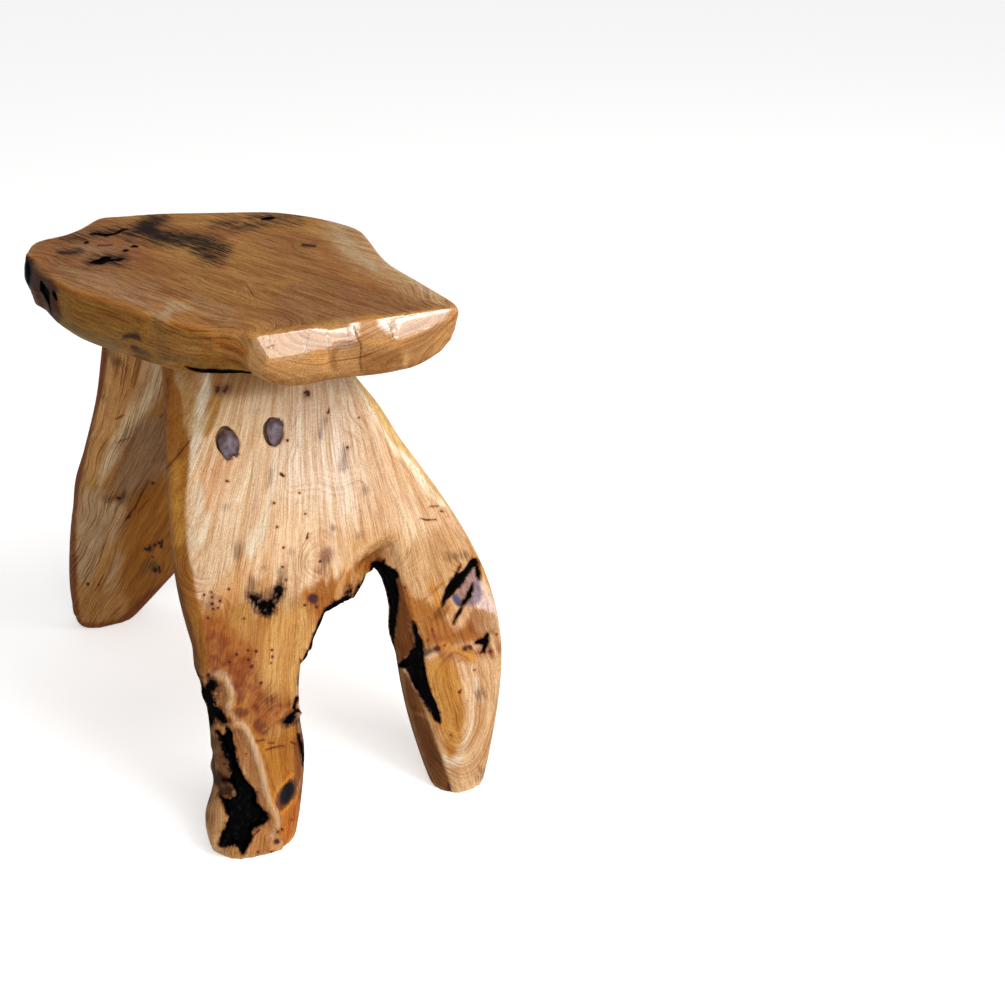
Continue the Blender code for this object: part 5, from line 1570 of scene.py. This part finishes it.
def makeRearLeg():
    wood = Wood("rear_leg", "rear_leg_slab", rearValues)
    marks = rearMarks
    for pull in rearValues["pulls"]:
        wood.grab(*pull)
    for facet in rearValues["facets"]:
        wood.facet(*facet)
    wood.refine(marks["cracks"] + marks["knots"], 2)
    dressWood(wood, rearPaints, marks, rearValues["ringKnots"])
    for plug in ("rear_plug_left", "rear_plug_right"):
        wood.openMouth(plug, plugValues)
    wood.finish(lacqueredWood("lacquered fork of the rear leg", rearLook))


makeRearLeg()
print("rear leg made")


# The plugs themselves

def fillerMaterial(values):
    material, tree, shader = newMaterial("dark filler under lacquer")
    place = addNode(tree, "TexCoord").outputs["Object"]
    lumps = addNode(tree, "TexNoise", {"Vector": place, "Scale": 1 / (values["lumpMm"] * mm),
                                       "Detail": 4.0, "Roughness": 0.6}).outputs["Fac"]
    colour = addNode(tree, "ValToRGB", {0: lumps}, stops=[(0.38, linear(values["dark"])),
                                                         (0.68, linear(values["pale"]))])
    grain = addNode(tree, "TexNoise", {"Vector": place, "Scale": 1 / (0.9 * mm), "Detail": 2.0})
    height = addNode(tree, "Math", {0: lumps, 1: grain.outputs["Fac"]}, operation="ADD")
    bump = addNode(tree, "Bump", {"Height": height.outputs[0], "Strength": 0.6, "Distance": 0.4 * mm})
    low, high = values["roughness"]
    rough = addNode(tree, "MapRange", {"Value": lumps, "To Min": low, "To Max": high})
    tree.links.new(colour.outputs[0], shader.inputs["Base Color"])
    tree.links.new(bump.outputs[0], shader.inputs["Normal"])
    tree.links.new(rough.outputs[0], shader.inputs["Roughness"])
    return material


def makePlug(plug, values, material, seed):
    origin, across, up, out = plugFaces[plug]
    outline = rounded(values["outlines"][plug], True) * mm
    middle = outline.mean(axis=0)
    size = np.linalg.norm(outline - middle, axis=1)[:, None]
    outline = middle + (outline - middle) * (1 + values["overlapMm"] * mm / size)
    bm = bmesh.new()
    rim = [bm.verts.new(origin + across * u + up * v - out * values["depthMm"] * mm)
           for u, v in outline]
    top = bm.faces.new(rim)
    bm.normal_update()
    if top.normal @ Vector(out) < 0:
        top.normal_flip()
    steps = 5
    for step in range(steps):
        bmesh.ops.inset_region(bm, faces=[top], thickness=0.9 * mm, use_even_offset=False)
        lift = values["domeMm"] * mm / steps * (1 - step / steps) * 1.6
        bmesh.ops.translate(bm, verts=top.verts, vec=Vector(out) * lift)
    bmesh.ops.poke(bm, faces=[top])
    edge = [e for e in bm.edges if e.is_boundary]
    skirt = bmesh.ops.extrude_edge_only(bm, edges=edge)["geom"]
    deep = [v for v in skirt if isinstance(v, bmesh.types.BMVert)]
    bmesh.ops.translate(bm, verts=deep, vec=-Vector(out) * values["thickMm"] * mm)
    bmesh.ops.contextual_create(bm, geom=[e for e in bm.edges if e.is_boundary])
    bmesh.ops.recalc_face_normals(bm, faces=bm.faces)
    piece = newPiece(plug + "_filler", bm)
    mesh = piece.data
    points = np.empty(len(mesh.vertices) * 3)
    mesh.vertices.foreach_get("co", points)
    points = points.reshape(-1, 3)
    lumps = softNoise(points, values["lumpMm"] * mm, seed) * 0.35 * mm
    shift = np.where((points - origin) @ out > -(values["depthMm"] - 0.05) * mm, lumps, 0)
    mesh.vertices.foreach_set("co", (points + out * shift[:, None]).ravel())
    mesh.shade_smooth()
    mesh.materials.append(material)
    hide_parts(plug)
    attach(piece, "root")


filler = fillerMaterial(plugValues)
for seed, plug in enumerate(plugValues["outlines"]):
    makePlug(plug, plugValues, filler, seed + 31)
print("plugs made")


# Stretcher: a turned bar of straight-grained pale wood between the legs

stretcherValues = {
    "voxelMm": 1.6,
    "smoothRounds": 6,
    "alongWay": (0.0, 1.0, 0.0),
    "pith": (0.02, 0.0, 0.22),
    "inward": (0, 0, -1),
    "facePoint": (0, 0, 0.285),
    "ground": ("#CFA06C", "#DDB686"),
    "hiddenKnots": (3, (0.8, 1.4), 8, 0.3),
}

stretcherLook = dict(
    seatLook,
    wanderMm=40, wanderDepthMm=2.0, bandShare=0.4, bandDark="#C9A07A", lineShare=0.5,
    paleLineShare=0.25, coat=0.5,
)


def makeStretcher():
    wood = Wood("stretcher", "stretcher_bar", stretcherValues)
    wood.startLayers()
    wood.scatterKnots(*stretcherValues["hiddenKnots"])
    wood.carve()
    wood.finish(lacqueredWood("lacquered turned bar", stretcherLook))


makeStretcher()
print("stretcher made")


# Screws: zinc-plated steel, hidden in their pockets

screwValues = {
    "colour": "#B9BAB4",
    "stainColour": "#8F9088",
    "stainMm": 4.0,
    "brushMm": 0.4,
    "roughness": (0.28, 0.45),
}


def screwMaterial(values):
    material, tree, shader = newMaterial("zinc-plated steel")
    place = addNode(tree, "TexCoord").outputs["Object"]
    cloud = addNode(tree, "TexNoise", {"Vector": place, "Scale": 1 / (values["stainMm"] * mm)})
    brush = addNode(tree, "TexNoise", {"Vector": place, "Scale": 1 / (values["brushMm"] * mm)})
    colour = addNode(tree, "Mix", {0: cloud.outputs["Fac"], 6: linear(values["colour"]),
                                   7: linear(values["stainColour"])}, data_type="RGBA")
    low, high = values["roughness"]
    rough = addNode(tree, "MapRange", {"Value": brush.outputs["Fac"], "To Min": low, "To Max": high})
    tree.links.new(colour.outputs[2], shader.inputs["Base Color"])
    tree.links.new(rough.outputs[0], shader.inputs["Roughness"])
    shader.inputs["Metallic"].default_value = 1.0
    return material


steel = screwMaterial(screwValues)
for leg in ("front", "rear"):
    for side in ("left", "right"):
        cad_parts[f"{leg}_screw_{side}"].material_slots[0].material = steel
print("screws made")


# Floor, background and light

lightValues = {
    # each softbox has a place, an aim, a size and its watts
    "lamps": {
        "key": ((1.02, -1.52, 2.00), (0.0, -0.15, 0.40), (1.3, 0.9), 36.0),
        "front": ((0.45, -2.32, 1.50), (0.0, -0.15, 0.35), (2.1, 1.1), 34.0),
    },
    "lampColour": (1.0, 0.97, 0.945),
    "skyStrength": 0.5,
    "backdropTop": (0.1, 0.4),
    "ceiling": 0.12,
    "floorSize": 30.0,
    "floorColour": "#F2F2F2",
    "floorGlow": 0.45,
}


def makeSoftbox(name, place, aim, size, watts):
    data = bpy.data.lights.new(name, "AREA")
    data.shape = "RECTANGLE"
    data.size, data.size_y = size
    data.energy = watts
    data.color = lightValues["lampColour"]
    lamp = bpy.data.objects.new(name, data)
    lamp.location = place
    way = Vector(aim) - lamp.location
    lamp.rotation_euler = way.to_track_quat("-Z", "Y").to_euler()
    bpy.context.scene.collection.objects.link(lamp)


# The background is white for the camera, gloss and glass, and what lights the wood is softer.
def seenDirectly(tree):
    rays = addNode(tree, "LightPath")
    share = rays.outputs["Is Camera Ray"]
    for kind in ("Is Glossy Ray", "Is Transmission Ray"):
        share = addNode(tree, "Math", {0: share, 1: rays.outputs[kind]}, operation="MAXIMUM").outputs[0]
    return share


def makeSky(values):
    world = bpy.data.worlds.new("sky")
    bpy.context.scene.world = world
    world.use_nodes = True
    tree = world.node_tree
    # a studio's white backdrop ends above the horizon, and its ceiling is dim
    height = addNode(tree, "SeparateXYZ", {0: addNode(tree, "TexCoord").outputs["Generated"]})
    backdrop = addNode(tree, "MapRange", {"Value": height.outputs["Z"],
                                          "From Min": values["backdropTop"][0],
                                          "From Max": values["backdropTop"][1],
                                          "To Min": 1.0, "To Max": values["ceiling"]})
    strength = addNode(tree, "MapRange", {"Value": seenDirectly(tree), "To Min": values["skyStrength"],
                                          "To Max": backdrop.outputs[0]}).outputs[0]
    sky = tree.nodes["Background"]
    sky.inputs["Color"].default_value = (1, 1, 1, 1)
    tree.links.new(strength, sky.inputs["Strength"])


def makeFloor(values):
    bm = bmesh.new()
    bmesh.ops.create_grid(bm, x_segments=1, y_segments=1, size=values["floorSize"] / 2)
    floor = newPiece("floor", bm)
    material, tree, shader = newMaterial("matt white floor")
    shader.inputs["Base Color"].default_value = linear(values["floorColour"])
    shader.inputs["Roughness"].default_value = 0.9
    shader.inputs["Specular IOR Level"].default_value = 0.0
    shader.inputs["Emission Color"].default_value = (1, 1, 1, 1)
    glow = addNode(tree, "Math", {0: seenDirectly(tree), 1: values["floorGlow"]}, operation="MULTIPLY")
    tree.links.new(glow.outputs[0], shader.inputs["Emission Strength"])
    floor.data.materials.append(material)


for name, lamp in lightValues["lamps"].items():
    makeSoftbox(name, *lamp)
makeSky(lightValues)
makeFloor(lightValues)
bpy.context.scene.view_settings.view_transform = "Standard"
print("floor and light made")
